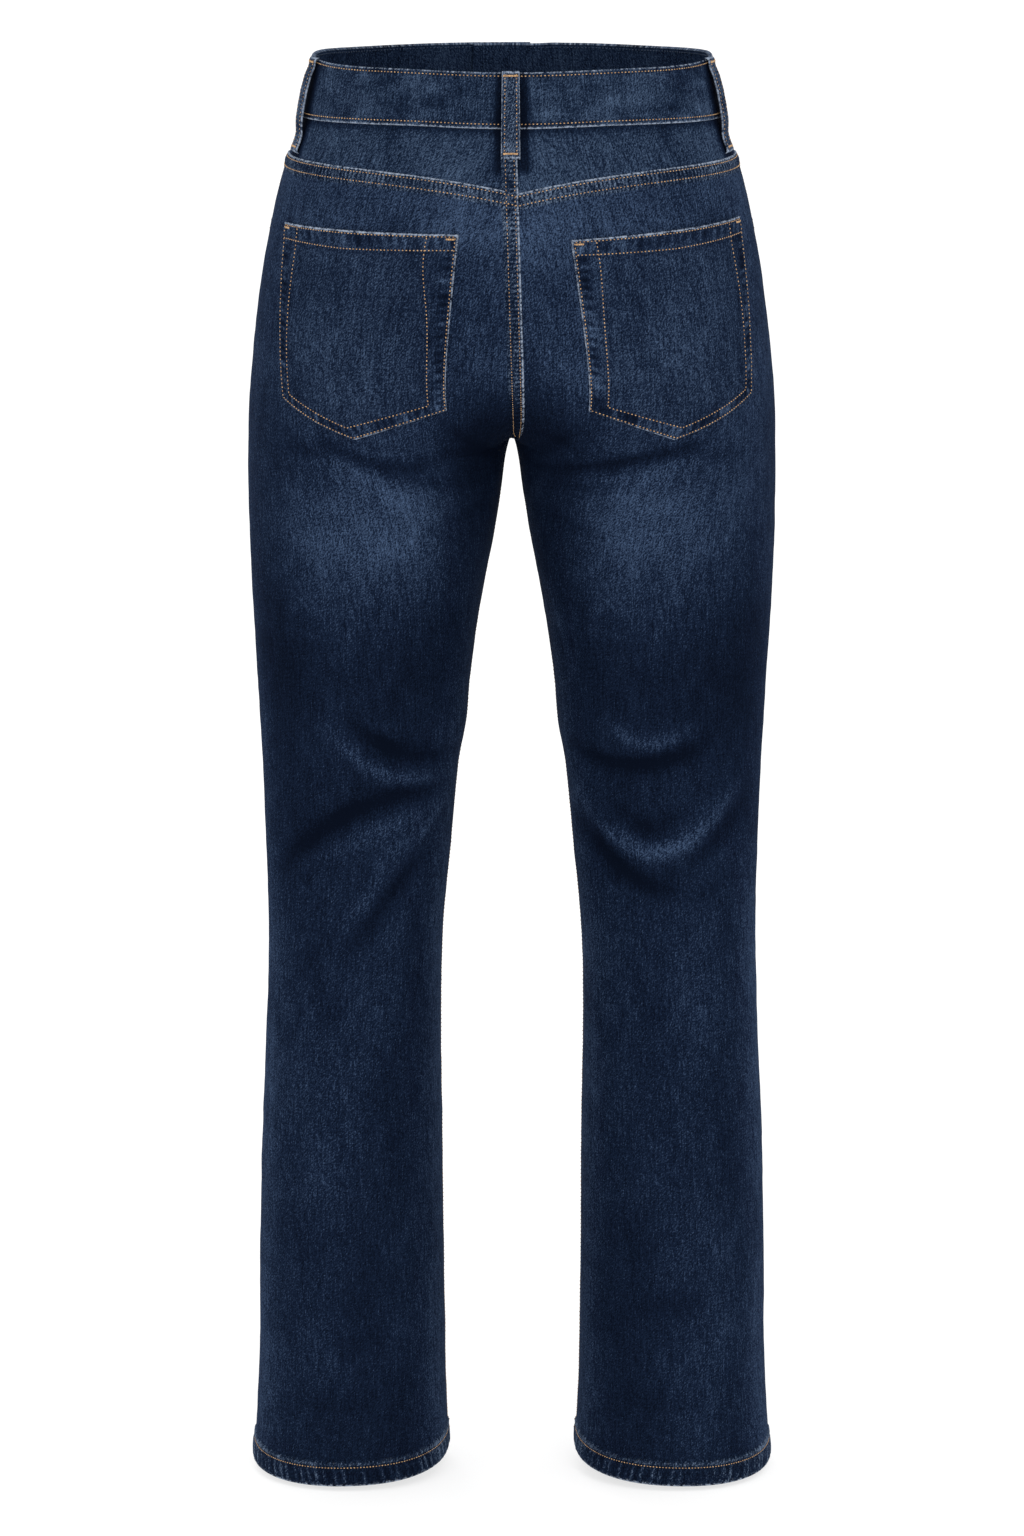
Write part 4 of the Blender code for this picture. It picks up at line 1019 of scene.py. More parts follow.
def pocket_facing(name, side, finish, lining):
    """The cloth behind the scooped opening of a front pocket."""
    share = np.linspace(0, 1, 60)
    q = -0.50 * share
    high, low = band_z(q) + 0.002, scoop_z(q) - 0.018 - 0.010 * share
    z = np.array([high + (low - high) * i / 34 for i in range(35)])
    around = np.broadcast_to(q, z.shape)
    clear = z - scoop_z(around)
    joined = np.maximum(ease(-0.075, -0.004, around), ease(-0.012, -0.001, z - band_z(around)))
    rise = FACING_DEPTH * joined * ease(0.002, 0.010, clear)
    # Painted shade along the scoop's edge, where the facing shows through the opening
    tone = 0.05 + tone_at(side, around, z) - 0.5 * peak(clear, 0, 0.004)
    made = on_skin(f"{name}_cloth", side, around, z, rise - FACING_DEPTH, tone, 0 * z, finish,
                   thickness=SHELL, lining=lining)
    return hang(made, name)


# A belt loop from its top to its foot: how far down it is, and how far its face stands off
Span = namedtuple("Span", "down stand_off")
LOOP_SPAN = (
    Span(-0.012, 0.0006),
    Span(0.00, 0.0026),
    Span(0.03, 0.0033),
    Span(0.09, 0.0030),
    Span(0.20, 0.0048),
    Span(0.36, 0.0058),
    Span(0.52, 0.0058),
    Span(0.66, 0.0050),
    Span(0.80, 0.0030),
    Span(0.90, 0.0026),
    Span(0.97, 0.0030),
    Span(1.00, 0.0024),
    Span(1.012, 0.0004),
)
# Across half a belt loop, from its middle: how far out, as a share of its half width, and how high
LOOP_FOLD = (
    (0.0, 0.0002),
    (0.22, 0.0002),
    (0.45, 0.0001),
    (0.64, -0.0001),
    (0.78, 0.0001),
    (0.90, 0.0),
    (0.97, -0.0002),
    (1.0, -0.0008),
    (0.985, -0.0014),
    (0.90, -0.0017),
)
# Each belt loop: its node, its side, its q and the height of its foot
LOOPS = (
    *((f"belt_loop_side_{word}", side, 0.15, -0.0445) for word, side in SIDES),
    *((f"belt_loop_front_{word}", side, -0.52, -0.0400) for word, side in SIDES),
    ("belt_loop_back", LEFT, 1 - 0.001 / 0.22, -0.0390),
)


def loop_place(q0, foot_z, across, down):
    """A belt loop's q, z and height: across runs over its width in metres and down from 0 to 1."""
    length = float(front_length(0.0) if q0 < 0 else back_length(0.0))
    top = float(rim_z(q0)) + (0.0002 if q0 > 0 else -0.0014)
    q = q0 + across / length
    z = top + (foot_z - top) * down
    height = np.interp(down, *zip(*LOOP_SPAN))
    foot = ease(0.70, 0.85, down)
    lift = 0.0009 if q0 > 0.9 else 0.0
    return q, z, height + WAISTBAND_PROUD * (1 - foot) + lift * foot


def belt_loop(name, side, q0, foot_z, finish):
    """A belt loop: a folded strap, crowned in the middle and turned under at its edges."""
    half = LOOP_WIDTH / 2
    out_to, rise = np.array(LOOP_FOLD).T
    across = half * np.concatenate([-out_to[:0:-1], out_to])
    fall = np.concatenate([rise[:0:-1], rise])
    down = np.linspace(-0.012, 1.012, 74)[:, None]
    q, z, height = loop_place(q0, foot_z, across, down)
    ripple = waver(z, 61 + q0 * 7 + side)
    out = height + fall + 0.00022 * ripple * np.cos(across / half * 1.4)
    edge = (np.abs(np.abs(across) / half - 0.96) < 0.05) * 0.9 * (0.8 + 0.2 * ripple)
    ends = 0.8 * peak(down, 1.0, 0.012) + 0.8 * peak(down, 0, 0.012)
    edge = np.maximum(edge, ends)
    tone = 0.15 + 0.30 * ripple + 0 * q
    q, z = np.broadcast_arrays(q, z)
    made = on_skin(f"{name}_cloth", side, q, z, out, tone, edge, finish)
    return hang(made, name)


# Sewing

# Along one stitch: how far along it, how thick it is and how high it stands
Bead = namedtuple("Bead", "along thick rise")
STITCH = (
    Bead(-1.0, 0.35, -0.90),
    Bead(-0.72, 0.85, 0.05),
    Bead(0.0, 1.0, 0.45),
    Bead(0.72, 0.85, 0.05),
    Bead(1.0, 0.35, -0.90),
)
Run = namedtuple("Run", "side q z pitch size crosswise inside")
RUNS = {}
BAR = {"pitch": 0.00050, "size": 0.00027, "crosswise": 0.0016}

# A stitch's thread has this many sides, and a line's stitch fills this share of its pitch
THREAD_SIDES = 6
STITCH_FILL = 0.44

# Stitches are looked for from this far outside the skin, and this far on
CLEAR, CAST = 0.020, 0.035


def sew(carrier, side, q, z, pitch=0.0030, size=0.00038, crosswise=0.0, inside=0.0):
    """Plan a line of stitches along places on the skin, on the piece of a node.

    crosswise lays the stitches across the line, this long. inside puts them on the inner face.
    """
    q, z = np.broadcast_arrays(np.asarray(q, float), np.asarray(z, float))
    RUNS.setdefault(carrier, []).append(Run(side, q, z, pitch, size, crosswise, inside))


def bartack(carrier, side, q, z, length, upright=False):
    """Plan a bar of close stitches, centred on a place."""
    reach = float(length_at(q, z))
    along = np.array([-0.5, 0.5]) * length
    if upright:
        sew(carrier, side, q + 0 * along, z + along, **BAR)
    else:
        sew(carrier, side, q + along / reach, z + 0 * along, **BAR)


def outer_face(pieces):
    """A tree for finding places on the faces of some pieces."""
    points, faces = [], []
    for piece in pieces:
        start = len(points)
        points.extend(vertex.co.copy() for vertex in piece.data.vertices)
        faces.extend([start + i for i in face.vertices] for face in piece.data.polygons)
    return BVHTree.FromPolygons(points, faces)


def stitch_places(run, tree):
    """The middle, the direction and the outward direction of each stitch of a run."""
    share = np.linspace(0, 1, max(2, int(len(run.q) * 4)))
    steps = np.linspace(0, 1, len(run.q))
    q, z = np.interp(share, steps, run.q), np.interp(share, steps, run.z)
    line = cloth(run.side, q, z, CLEAR)
    away = np.concatenate([[0], np.cumsum(np.linalg.norm(np.diff(line, axis=0), axis=1))])
    count = max(1, int(away[-1] / run.pitch))
    stops = (np.arange(count) + 0.5) * away[-1] / count
    q, z = np.interp(stops, away, q), np.interp(stops, away, z)
    start = cloth(run.side, q, z, CLEAR)
    aim = outward(run.side, q, z)
    ahead, behind = (
        np.stack([np.interp(stops + step, away, line[:, k]) for k in range(3)], axis=1)
        for step in (0.0004, -0.0004)
    )
    places = []
    for origin, out, direction in zip(start, aim, ahead - behind):
        spot, normal, _, _ = tree.ray_cast(Vector(origin), -Vector(out), CAST)
        if spot is None:
            continue
        normal = normal if normal.dot(Vector(out)) > 0 else -normal
        if run.inside:
            spot, normal = spot - normal * run.inside, -normal
        tangent = Vector(direction) - normal * normal.dot(Vector(direction))
        if run.crosswise:
            tangent = normal.cross(tangent)
        places.append((spot, tangent.normalized(), normal))
    return places


def threads(carrier, pieces, finish):
    """Make every stitch planned on one node's pieces."""
    tree = outer_face(pieces)
    stitches = []
    for run in RUNS[carrier]:
        half = (run.crosswise or run.pitch * STITCH_FILL) / 2
        for place in stitch_places(run, tree):
            stitches.append((*place, [half], [run.size], int(run.inside > 0)))
    spots, tangents, normals, halves, sizes, hidden = map(np.array, zip(*stitches))
    sideways = np.cross(normals, tangents)
    slant = 0.10 * scatter(np.arange(len(spots)), 3)[:, None]
    tangents = tangents + sideways * slant
    points = []
    for bead in STITCH:
        middle = spots + tangents * halves * bead.along + normals * sizes * bead.rise
        for turn in np.linspace(0, 2 * np.pi, THREAD_SIDES, endpoint=False):
            ring = normals * math.sin(turn) * 0.9 + sideways * math.cos(turn) * 1.1
            points.append(middle + ring * sizes * bead.thick)
    points = np.stack(points, axis=1)
    per_stitch = THREAD_SIDES * len(STITCH)
    rings = np.arange(per_stitch).reshape(len(STITCH), THREAD_SIDES)
    turned = np.roll(rings, -1, axis=1)
    cells = np.stack([rings[:-1], turned[:-1], turned[1:], rings[1:]], axis=-1).reshape(-1, 4)
    faces = (np.arange(len(spots))[:, None, None] * per_stitch + cells[None]).reshape(-1, 4)
    mesh = bpy.data.meshes.new(f"stitches_{carrier}")
    mesh.from_pydata(points.reshape(-1, 3).tolist(), [], faces.tolist())
    shade = mesh.attributes.new("tone", "FLOAT", "POINT")
    tone = np.repeat(scatter(np.arange(len(spots)), 9), per_stitch)
    shade.data.foreach_set("value", tone.astype(np.float32))
    mesh.shade_smooth()
    mesh.materials.append(finish)
    if any(hidden):
        mesh.materials.append(BOBBIN_THREAD)
        mesh.polygons.foreach_set("material_index", np.repeat(hidden.astype(np.int32), len(cells)))
    obj = new_object(mesh.name, mesh)
    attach(obj, "root")
    return obj


def plan_waistband():
    """Lines along the waistband's top and bottom, outside and inside, its lapped end and its buttonhole."""
    length = float(front_length(0.0))
    for side, outer_start, inner_start in ((LEFT, -0.011, 0.031), (RIGHT, 0.016, -0.027)):
        for start, inside in ((outer_start, 0.0), (inner_start, BAND_SHELL)):
            q = np.linspace(start / length - 1, 1, 260)
            sew("waistband", side, q, rim_z(q) - BAND_TOP_LINE, inside=inside)
            sew("waistband", side, q, band_z(q) + BAND_FOOT_LINE, inside=inside)
    z = np.linspace(float(rim_z(-1)) - 0.003, float(band_z(-1)) + 0.0025, 12)
    sew("waistband", LEFT, -1 - 0.011 / length, z)
    hole_z = 0.001
    for drop in (-0.0020, 0.0020):
        sew("waistband", LEFT, -1 + np.linspace(-0.006, 0.016, 6) / length, hole_z + drop, pitch=0.0006,
            size=0.00028, crosswise=0.0017)
    bartack("waistband", LEFT, -1 + 0.0165 / length, hole_z, 0.0052, upright=True)


def plan_yokes_and_backs():
    """Double lines along the yoke and centre back seams, and lines down the outseams and round the hems."""
    for word, side in SIDES:
        share = np.linspace(0.006, 1.0, 120)
        q = share * (1 + centre_shift(yoke_z(share)) * side / float(back_length(-0.055)))
        for inward in FELLED_LINES:
            sew(f"back_{word}", side, q, yoke_z(share) + SEAM_RISE - inward)
        z = np.linspace(float(yoke_z(0)) - 0.004, -0.172, 50)
        sew(f"back_{word}", side, OUTSEAM_LINE / back_length(z), z)
        z = np.linspace(float(band_z(0)) - 0.001, float(yoke_z(0)) + 0.001, 12)
        sew(f"yoke_{word}", side, OUTSEAM_LINE / back_length(z), z)
        around = np.linspace(0.002, 0.998, 160)
        sew(f"back_{word}", side, around, hem_z(around) + HEM_LINE)
        sew(f"front_{word}", side, -around, hem_z(around) + HEM_LINE)
    for carrier, high, low in (
        ("yoke_left", float(band_z(1.0)) - 0.001, float(yoke_z(1.0)) + 0.001),
        ("back_left", float(yoke_z(1.0)) - 0.001, CROTCH_Z + 0.008),
    ):
        z = np.linspace(high, low, 120)
        narrow = 0.55 + 0.45 * ease(CROTCH_Z, CROTCH_Z + 0.016, z)
        for inward in FELLED_LINES:
            sew(carrier, LEFT, 1 + (lap_line(z) - inward * narrow) / back_length(z), z, size=0.00028)


def plan_fronts():
    """The scoops, the fly, the centre front seam and the inseams."""
    for word, side in SIDES:
        share = np.linspace(0.012, SCOOP_Q - 0.004, 110)
        for inward in SCOOP_LINES:
            sew(f"front_{word}", side, -share, scoop_z(share) - inward)
        z = np.linspace(CROTCH_Z - 0.004, HEM_Z + 0.020, 320)
        for inward in INSEAM_LINES:
            sew(f"front_{word}", side, -1 + inward / front_length(z), z)
    turn = np.linspace(0, math.pi / 2, 24)
    bend_z = FLY_END_Z + 0.036
    for inner in (0.0, 0.0062):
        reach = 0.0345 - inner
        down = np.linspace(float(band_z(-1)) - 0.002, bend_z, 50)
        z = np.concatenate([down, bend_z - (0.032 - inner) * np.sin(turn)])
        away = np.concatenate([down * 0 + reach, reach - (reach - 0.003) * (1 - np.cos(turn))])
        sew("front_left", LEFT, -1 + away / front_length(z), z)
    z = np.linspace(FLY_END_Z - 0.002, CROTCH_Z + 0.006, 60)
    for inward in INSEAM_LINES:
        narrow = 0.45 + 0.55 * ease(CROTCH_Z, CROTCH_Z + 0.03, z)
        sew("front_left", LEFT, -1 + inward * narrow / front_length(z), z)
    bartack("front_left", LEFT, -1 + 0.0045 / float(front_length(-0.17)), FLY_END_Z + 0.001, 0.008)


def plan_pockets():
    """Each back pocket's outline, its inner lines, the double line of its mouth and its bartacks."""
    wide, tall = POCKET_WIDE, POCKET_TALL
    edge_wide, edge_tall, mouth = POCKET_LINE / wide, POCKET_LINE / tall, MOUTH_LINES[0] / tall
    for word, side in SIDES:
        node = f"pocket_back_{word}"
        down = np.linspace(mouth, 1 - edge_tall, 70)
        across = np.linspace(edge_wide, 1 - edge_wide, 80)
        sew(node, side, *pocket_place(side, edge_wide, down))
        sew(node, side, *pocket_place(side, 1 - edge_wide, down))
        sew(node, side, *pocket_place(side, across, 1 - edge_tall))
        for drop in MOUTH_LINES:
            sew(node, side, *pocket_place(side, across, drop / tall))
        down = np.linspace(mouth, 1 - POCKET_INNER_LINE / tall, 70)
        inner, outer = pocket_band(side, down)
        sew(node, side, *pocket_place(side, inner / wide, down))
        sew(node, side, *pocket_place(side, 1 - outer / wide, down))
        across = np.linspace(inner[-1] / wide, 1 - outer[-1] / wide, 80)
        sew(node, side, *pocket_place(side, across, 1 - POCKET_INNER_LINE / tall))
        for across in (0.0055 / wide, 1 - 0.0055 / wide):
            q, z = pocket_place(side, across, 0.0036 / tall)
            bartack(node, side, float(q), float(z), 0.0060)


def plan_loops():
    """Two lines down each belt loop and a bartack at its top and at its foot."""
    for node, side, q0, foot_z in LOOPS:
        down = np.linspace(0.012, 0.985, 40)
        for across in (-0.0042, 0.0042):
            q, z, _ = loop_place(q0, foot_z, across, down)
            sew(node, side, q, z, pitch=0.0027)
        for down in (0.045, 0.955):
            q, z, _ = loop_place(q0, foot_z, 0.0, down)
            bartack(node, side, float(q), float(z), 0.0108)


# Finishes

def add(tree, kind, inputs=None, **settings):
    """A node with its settings, and with values or links on its inputs."""
    made = tree.nodes.new(kind)
    for key, value in settings.items():
        setattr(made, key, value)
    for key, value in (inputs or {}).items():
        if isinstance(value, bpy.types.NodeSocket):
            tree.links.new(value, made.inputs[key])
        else:
            made.inputs[key].default_value = value
    return made


def maths(tree, operation, first, second=0.0, third=0.0, clamp=False):
    """The result of one sum."""
    given = {0: first, 1: second, 2: third}
    return add(tree, "ShaderNodeMath", given, operation=operation, use_clamp=clamp).outputs[0]


def blend_colours(tree, share, first, second, clamp=True):
    """One colour turning into another, and past it without the clamp."""
    made = add(tree, "ShaderNodeMix", data_type="RGBA", clamp_factor=clamp)
    for socket, value in ((made.inputs[0], share), (made.inputs[6], first), (made.inputs[7], second)):
        if isinstance(value, bpy.types.NodeSocket):
            tree.links.new(value, socket)
        else:
            socket.default_value = value
    return made.outputs[2]


def noise(tree, vector, stretch, detail=2.0):
    """Noise over the threads, so many patches to the metre each way, from 0 to 1."""
    scaled = add(tree, "ShaderNodeVectorMath", {0: vector, 1: (*stretch, 1.0)}, operation="MULTIPLY")
    made = add(tree, "ShaderNodeTexNoise", {"Vector": scaled.outputs[0], "Scale": 1.0, "Detail": detail},
               noise_dimensions="2D")
    return made.outputs[0]


def new_group(name, inputs, outputs):
    """An empty shader node group with its sockets. Returns it with its two end nodes."""
    tree = bpy.data.node_groups.new(name, "ShaderNodeTree")
    for label, kind in inputs:
        tree.interface.new_socket(label, in_out="INPUT", socket_type=f"NodeSocket{kind}")
    for label, kind in outputs:
        tree.interface.new_socket(label, in_out="OUTPUT", socket_type=f"NodeSocket{kind}")
    return tree, tree.nodes.new("NodeGroupInput").outputs, tree.nodes.new("NodeGroupOutput").inputs


# The twill's direction over the threads, and the direction across its ribs
TWILL = ((0.64, 0.77, 0.0), (0.77, -0.64, 0.0))


def yarn_group():
    """Denim's yarns: streaky dark and pale along the warp, with the twill's fine slanting ribs."""
    inputs = [("Threads", "Vector"), ("Tone", "Float"), ("Contrast", "Float")]
    inputs += [(label, "Color") for label in ("Dark", "Mid", "Pale")]
    tree, given, result = new_group("denim yarns", inputs, [("Color", "Color"), ("Height", "Float")])
    turned = [add(tree, "ShaderNodeVectorMath", {0: given["Threads"], 1: aim}, operation="DOT_PRODUCT")
              for aim in TWILL]
    along, over = (node.outputs["Value"] for node in turned)
    slanted = add(tree, "ShaderNodeCombineXYZ", {0: along, 1: over}).outputs[0]
    streaks = noise(tree, given["Threads"], (560, 30), 3.0)
    fine = noise(tree, given["Threads"], (1100, 110))
    ribbed = noise(tree, slanted, (330, 950), 1.0)
    grain = noise(tree, given["Threads"], (1050, 900), 1.0)
    smears = noise(tree, given["Threads"], (100, 50), 3.0)
    patches = noise(tree, given["Threads"], (15, 9), 3.0)
    mixed = maths(tree, "MULTIPLY_ADD", streaks, 2.2, -1.1)
    for part, amount in ((fine, 3.2), (ribbed, 4.8), (grain, 5.8), (smears, 1.9)):
        mixed = maths(tree, "ADD", mixed, maths(tree, "MULTIPLY_ADD", part, amount, -0.5 * amount))
    specks = maths(tree, "MULTIPLY_ADD", fine, 9.0, -6.2, clamp=True)
    mixed = maths(tree, "ADD", mixed, specks)
    flecks = maths(tree, "MULTIPLY_ADD", grain, 16.0, -12.2, clamp=True)
    mixed = maths(tree, "MULTIPLY_ADD", flecks, 2.0, mixed)
    slow = maths(tree, "MULTIPLY_ADD", patches, 0.9, -0.45)
    tone = maths(tree, "ADD", given["Tone"], slow)
    strength = maths(tree, "MULTIPLY_ADD", given["Tone"], 0.40, 0.92)
    strength = maths(tree, "MULTIPLY", maths(tree, "MAXIMUM", strength, 0.5), given["Contrast"])
    tone = maths(tree, "MULTIPLY_ADD", mixed, strength, tone)
    low = blend_colours(tree, maths(tree, "ADD", tone, 1.0, clamp=True), given["Dark"], given["Mid"])
    high = maths(tree, "MINIMUM", maths(tree, "MAXIMUM", tone, 0.0), 1.8)
    tree.links.new(blend_colours(tree, high, low, given["Pale"], clamp=False), result["Color"])
    fine_ribs = maths(tree, "SINE", maths(tree, "MULTIPLY", over, 7000.0))
    height = maths(tree, "MULTIPLY_ADD", fine_ribs, 0.15, 0.3)
    for part, amount in ((streaks, 0.4), (ribbed, 0.5), (grain, 0.5)):
        height = maths(tree, "ADD", height, maths(tree, "MULTIPLY", part, amount))
    tree.links.new(height, result["Height"])
    return tree


def worn_edge_group():
    """Where an edge is rubbed pale, in broken flecks."""
    inputs = [("Threads", "Vector"), ("Edge", "Float")]
    tree, given, result = new_group("worn edge", inputs, [("Mask", "Float")])
    flecks = noise(tree, given["Threads"], (300, 300), 3.0)
    dots = noise(tree, given["Threads"], (900, 900), 1.0)
    broken = maths(tree, "MULTIPLY_ADD", flecks, 2.0, -1.25)
    broken = maths(tree, "ADD", broken, maths(tree, "MULTIPLY_ADD", dots, 1.4, -0.7))
    worn = maths(tree, "ADD", given["Edge"], broken)
    worn = maths(tree, "MULTIPLY", worn, 1.3, clamp=True)
    there = maths(tree, "MULTIPLY", given["Edge"], 3.0, clamp=True)
    tree.links.new(maths(tree, "MULTIPLY", worn, there), result["Mask"])
    return tree


def blank(name, roughness, metallic=0.0):
    """A material with only its shader. Returns the material, its tree and the shader."""
    made = bpy.data.materials.new(name)
    made.use_nodes = True
    shader = made.node_tree.nodes["Principled BSDF"]
    shader.inputs["Roughness"].default_value = roughness
    shader.inputs["Metallic"].default_value = metallic
    return made, made.node_tree, shader


def rgb(*screen):
    """A colour as seen on a screen, red, green and blue from 0 to 255, as Blender's linear colour."""
    linear = [((v / 255 + 0.055) / 1.055) ** 2.4 if v > 10.3 else v / 255 / 12.92 for v in screen]
    return (*linear, 1.0)


def on_mesh(tree, label):
    """A value that a mesh carries, its tone or its worn edges."""
    return add(tree, "ShaderNodeAttribute", attribute_name=label, attribute_type="GEOMETRY").outputs["Fac"]


def speckle(tree, scale, detail=2.0):
    """Noise over the object itself."""
    place = add(tree, "ShaderNodeTexCoord").outputs["Object"]
    return add(tree, "ShaderNodeTexNoise", {"Vector": place, "Scale": scale, "Detail": detail}).outputs[0]


def raise_surface(tree, shader, height, strength, distance):
    """Relief too fine for the mesh."""
    bump = add(tree, "ShaderNodeBump", {"Height": height, "Strength": strength, "Distance": distance})
    tree.links.new(bump.outputs[0], shader.inputs["Normal"])


def denim(name, dark, mid, pale, contrast=0.42, worn=True):
    """Indigo twill over the cloth's own threads, with its fades and rubbed edges where it is worn."""
    made, tree, shader = blank(name, 0.92)
    threads_map = add(tree, "ShaderNodeUVMap", uv_map="threads").outputs[0]
    given = {"Threads": threads_map, "Contrast": contrast, "Dark": dark, "Mid": mid, "Pale": pale}
    yarns = add(tree, "ShaderNodeGroup", given, node_tree=YARNS)
    colour = yarns.outputs["Color"]
    if worn:
        tree.links.new(on_mesh(tree, "tone"), yarns.inputs["Tone"])
        rubbed = {"Threads": threads_map, "Edge": on_mesh(tree, "edge")}
        mask = add(tree, "ShaderNodeGroup", rubbed, node_tree=WORN).outputs["Mask"]
        colour = blend_colours(tree, mask, colour, rgb(146, 158, 176))
        tree.links.new(maths(tree, "MULTIPLY_ADD", mask, -0.08, 0.92), shader.inputs["Roughness"])
    tree.links.new(colour, shader.inputs["Base Color"])
    raise_surface(tree, shader, yarns.outputs["Height"], 0.8, 0.0002)
    sheen = {"Weight": 0.03, "Roughness": 0.4, "Tint": rgb(50, 98, 168)}
    for label, value in sheen.items():
        shader.inputs[f"Sheen {label}"].default_value = value
    shader.inputs["Specular IOR Level"].default_value = 0.01
    return made


def thread_finish(name, first, second):
    """Twisted cotton thread, each stitch a little different."""
    made, tree, shader = blank(name, 0.7)
    twist = speckle(tree, 900.0)
    share = maths(tree, "ADD", maths(tree, "MULTIPLY_ADD", on_mesh(tree, "tone"), 0.35, 0.35), twist)
    share = maths(tree, "ADD", share, -0.4, clamp=True)
    tree.links.new(blend_colours(tree, share, first, second), shader.inputs["Base Color"])
    raise_surface(tree, shader, twist, 0.6, 0.0001)
    shader.inputs["Specular IOR Level"].default_value = 0.3
    return made


def brass_finish(name, bright, dull, scale):
    """Brass with a dull, cloudy patina."""
    made, tree, shader = blank(name, 0.35, 1.0)
    cloudy = speckle(tree, scale, 4.0)
    share = maths(tree, "MULTIPLY_ADD", cloudy, 2.2, -0.7, clamp=True)
    tree.links.new(blend_colours(tree, share, bright, dull), shader.inputs["Base Color"])
    tree.links.new(maths(tree, "MULTIPLY_ADD", share, 0.25, 0.28), shader.inputs["Roughness"])
    raise_surface(tree, shader, cloudy, 0.4, 0.0001)
    return made


def tape_finish(name, dark, pale):
    """Woven cotton tape."""
    made, tree, shader = blank(name, 0.92)
    place = add(tree, "ShaderNodeTexCoord").outputs["Object"]
    weave = speckle(tree, 1400.0)
    ribs = add(tree, "ShaderNodeTexWave", {"Vector": place, "Scale": 320.0, "Distortion": 1.0},
               bands_direction="Z").outputs["Fac"]
    share = maths(tree, "MULTIPLY_ADD", ribs, 0.4, maths(tree, "MULTIPLY", weave, 0.8), clamp=True)
    tree.links.new(blend_colours(tree, share, dark, pale), shader.inputs["Base Color"])
    raise_surface(tree, shader, share, 0.7, 0.0002)
    shader.inputs["Specular IOR Level"].default_value = 0.2
    return made


YARNS = yarn_group()
WORN = worn_edge_group()
DARKEST = rgb(8, 14, 27)
LEG_DENIM = denim("leg_denim", DARKEST, rgb(20, 31, 51), rgb(54, 70, 95))
TOP_DENIM = denim("waistband_and_yoke_denim", DARKEST, rgb(22, 34, 54), rgb(60, 76, 99))
POCKET_DENIM = denim("pocket_denim", DARKEST, rgb(21, 32, 52), rgb(58, 74, 98))
SEAM_DENIM = denim("seam_denim", DARKEST, rgb(22, 34, 54), rgb(82, 97, 118), contrast=0.46)
INSIDE_DENIM = denim("denim_wrong_side", DARKEST, rgb(26, 39, 62), rgb(54, 70, 94), 0.5, worn=False)
TAN_THREAD = thread_finish("tan_thread", rgb(140, 108, 76), rgb(222, 182, 134))
BOBBIN_THREAD = thread_finish("bobbin_thread", rgb(40, 52, 72), rgb(78, 92, 114))
OLD_BRASS = brass_finish("old_brass", rgb(160, 128, 82), rgb(118, 90, 56), 900.0)
ZIP_BRASS = brass_finish("zip_brass", rgb(196, 166, 104), rgb(128, 102, 60), 300.0)
ZIP_COTTON = tape_finish("zip_cotton", rgb(22, 28, 42), rgb(44, 52, 70))


# Hard parts

# The zip's middle stands this far from the front centre, and its teeth end at this height
ZIP_MIDDLE, ZIP_FOOT_Z, TOOTH_PITCH = 0.0075, -0.152, 0.0016


def zip_teeth(finish):
    """The closed zip's teeth, in two rows that mesh, along the ridge of the tape."""
    length = float(front_length(-0.09))
    z = np.arange(BAND_SEAM_Z - 0.018, ZIP_FOOT_Z, -TOOTH_PITCH)
    points, faces = [], []
    for i, height in enumerate(z):
        middle = ZIP_MIDDLE + (0.0007 if i % 2 else -0.0007)
        corners = [(middle + a, height + b, c) for c in (-0.0036, -0.0043) for a, b in
                   ((-0.0018, -0.00042), (0.0018, -0.00042), (0.0018, 0.00042), (-0.0018, 0.00042))]
        for away, level, out in corners:
            points.append(cloth(LEFT, np.array([-1 + away / length]), np.array([level]), out)[0])
        k = 8 * i
        faces += [(k, k + 1, k + 2, k + 3), (k + 7, k + 6, k + 5, k + 4), (k, k + 4, k + 5, k + 1),
                  (k + 1, k + 5, k + 6, k + 2), (k + 2, k + 6, k + 7, k + 3), (k + 3, k + 7, k + 4, k)]
    mesh = bpy.data.meshes.new("zip_teeth")
    mesh.from_pydata(points, [], faces)
    obj = new_object("zip_teeth", mesh)
    mesh.materials.append(finish)
    bevel = obj.modifiers.new("edges", "BEVEL")
    bevel.width = 0.00012
    bevel.segments = 1
    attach(obj, "root")
    return obj


def refinish(node, finish):
    """Give a solid that shows as it is a better finish."""
    for place in bpy.data.objects[node].material_slots:
        place.material = finish


# Making it all

def make_cloth():
    """Every cloth piece in place of its solid, and the folded seams."""
    waistband(TOP_DENIM, INSIDE_DENIM)
    for word, side in SIDES:
        yoke(f"yoke_{word}", side, TOP_DENIM, INSIDE_DENIM)
        leg_panel(f"back_{word}", side, False, LEG_DENIM, INSIDE_DENIM)
        leg_panel(f"front_{word}", side, True, LEG_DENIM, INSIDE_DENIM)
        back_pocket(f"pocket_back_{word}", side, POCKET_DENIM)
        pocket_facing(f"pocket_facing_{word}", side, POCKET_DENIM, INSIDE_DENIM)
    for node, side, q0, foot_z in LOOPS:
        belt_loop(node, side, q0, foot_z, SEAM_DENIM)
    seam_strips(SEAM_DENIM)


def make_sewing():
    """Every line of stitches and bartack, one mesh for each node."""
    plan_waistband()
    plan_yokes_and_backs()
    plan_fronts()
    plan_pockets()
    plan_loops()
    for carrier in list(RUNS):
        ON[carrier].append(threads(carrier, ON[carrier], TAN_THREAD))


# Where the camera stands and what it looks at, its lens in mm, and what the lights are turned to
CAMERA_PLACE, CAMERA_AIM = (0, 6.5, 0.8115), (0, 0, -0.5135)
LENS = 207.3
LIGHT_AIM = (0, 0, -0.5)
FLOOR_HALF = 40


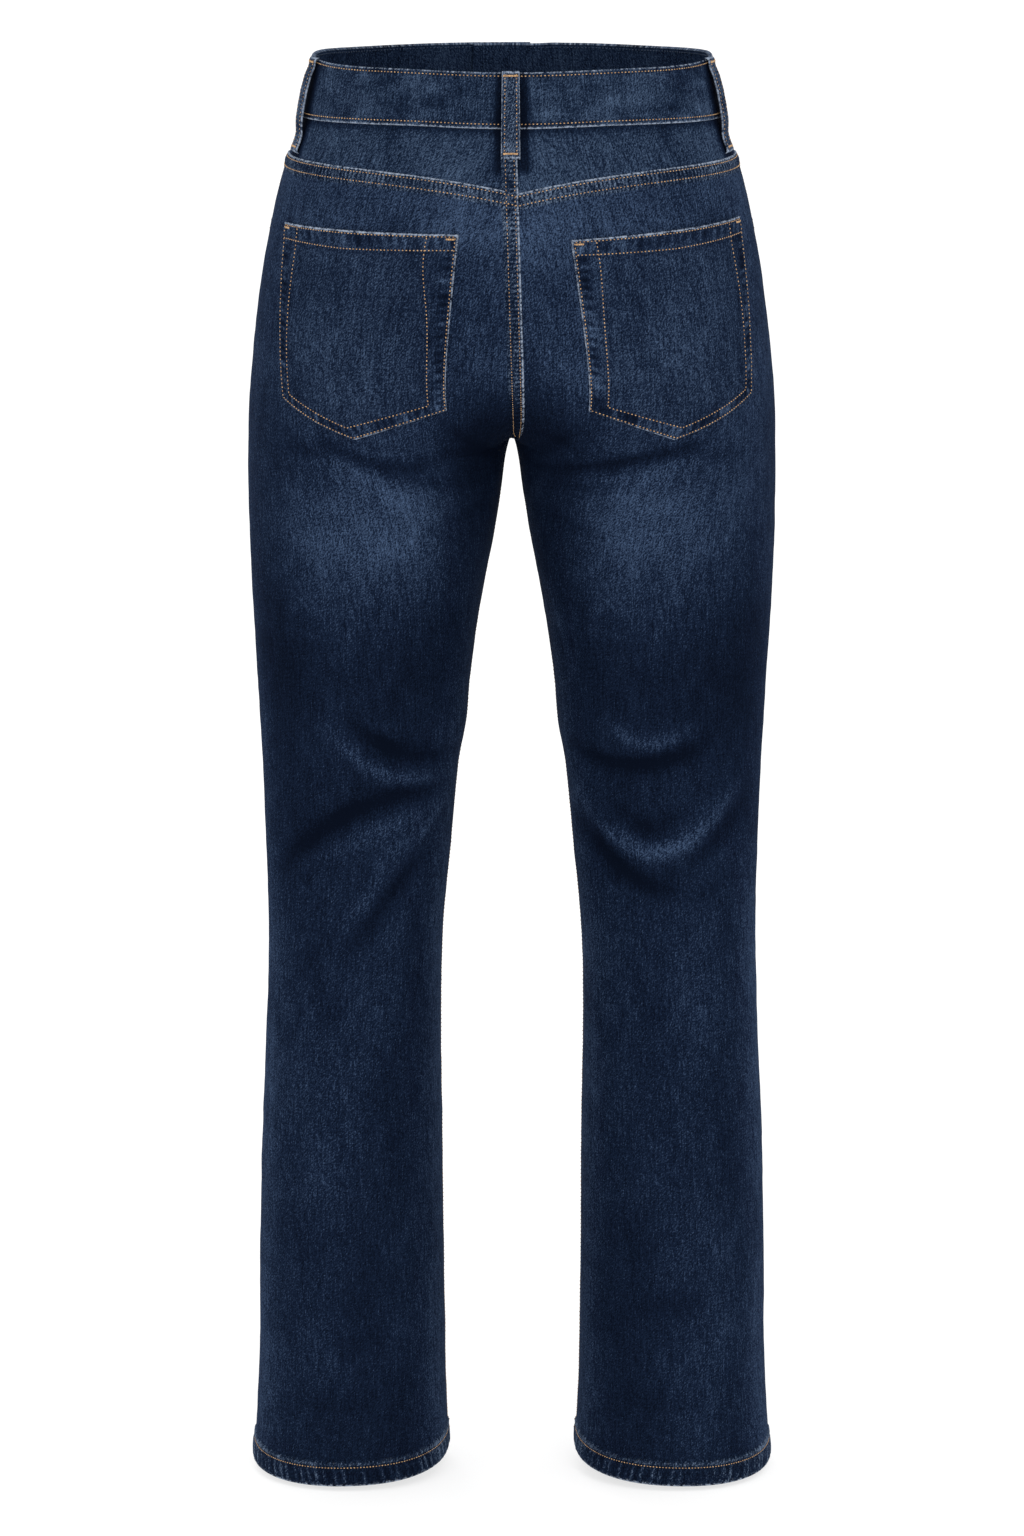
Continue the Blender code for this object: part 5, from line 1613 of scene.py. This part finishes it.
def aimed(name, data, place, aim):
    """A camera or a light at a place, turned to what it is aimed at."""
    made = new_object(name, data)
    made.location = place
    made.rotation_euler = (Vector(aim) - Vector(place)).to_track_quat("-Z", "Y").to_euler()
    return made


def studio():
    """The camera at the photograph's angle, a white floor and soft white light."""
    scene = bpy.context.scene
    view = bpy.data.cameras.new("camera")
    view.sensor_fit = "VERTICAL"
    view.sensor_height = 36
    view.lens = LENS
    view.clip_end = 100
    scene.camera = aimed("camera", view, CAMERA_PLACE, CAMERA_AIM)
    world = bpy.data.worlds.new("soft_white")
    world.use_nodes = True
    world.node_tree.nodes["Background"].inputs["Color"].default_value = (1, 1, 1, 1)
    world.node_tree.nodes["Background"].inputs["Strength"].default_value = 1.0
    scene.world = world
    for name, place, size, power in (
        ("key", (-1.2, 3.4, 2.8), 1.6, 34),
        ("fill", (2.2, 3.2, 0.4), 2.0, 8),
        ("front_key", (1.2, -3.6, 2.8), 1.6, 34),
    ):
        light = bpy.data.lights.new(name, "AREA")
        light.shape = "DISK"
        light.size = size
        light.energy = power
        aimed(name, light, place, LIGHT_AIM)
    finish, tree, shader = blank("white_floor", 0.9)
    grey = blend_colours(tree, speckle(tree, 3.0), (0.33, 0.33, 0.33, 1), (0.35, 0.35, 0.35, 1))
    tree.links.new(grey, shader.inputs["Base Color"])
    shader.inputs["Emission Color"].default_value = (1, 1, 1, 1)
    shader.inputs["Emission Strength"].default_value = 0.72
    mesh = bpy.data.meshes.new("floor")
    low = HEM_Z - HEM_TILT - 0.0016
    corners = [(x * FLOOR_HALF, y * FLOOR_HALF, low) for x, y in ((-1, -1), (1, -1), (1, 1), (-1, 1))]
    mesh.from_pydata(corners, [], [(0, 1, 2, 3)])
    mesh.materials.append(finish)
    floor = new_object("floor", mesh)
    scene.view_settings.view_transform = "Standard"


make_cloth()
make_sewing()
zip_teeth(ZIP_BRASS)
refinish("zip_slider", ZIP_BRASS)
refinish("zip_tape", ZIP_COTTON)
refinish("button", OLD_BRASS)
studio()
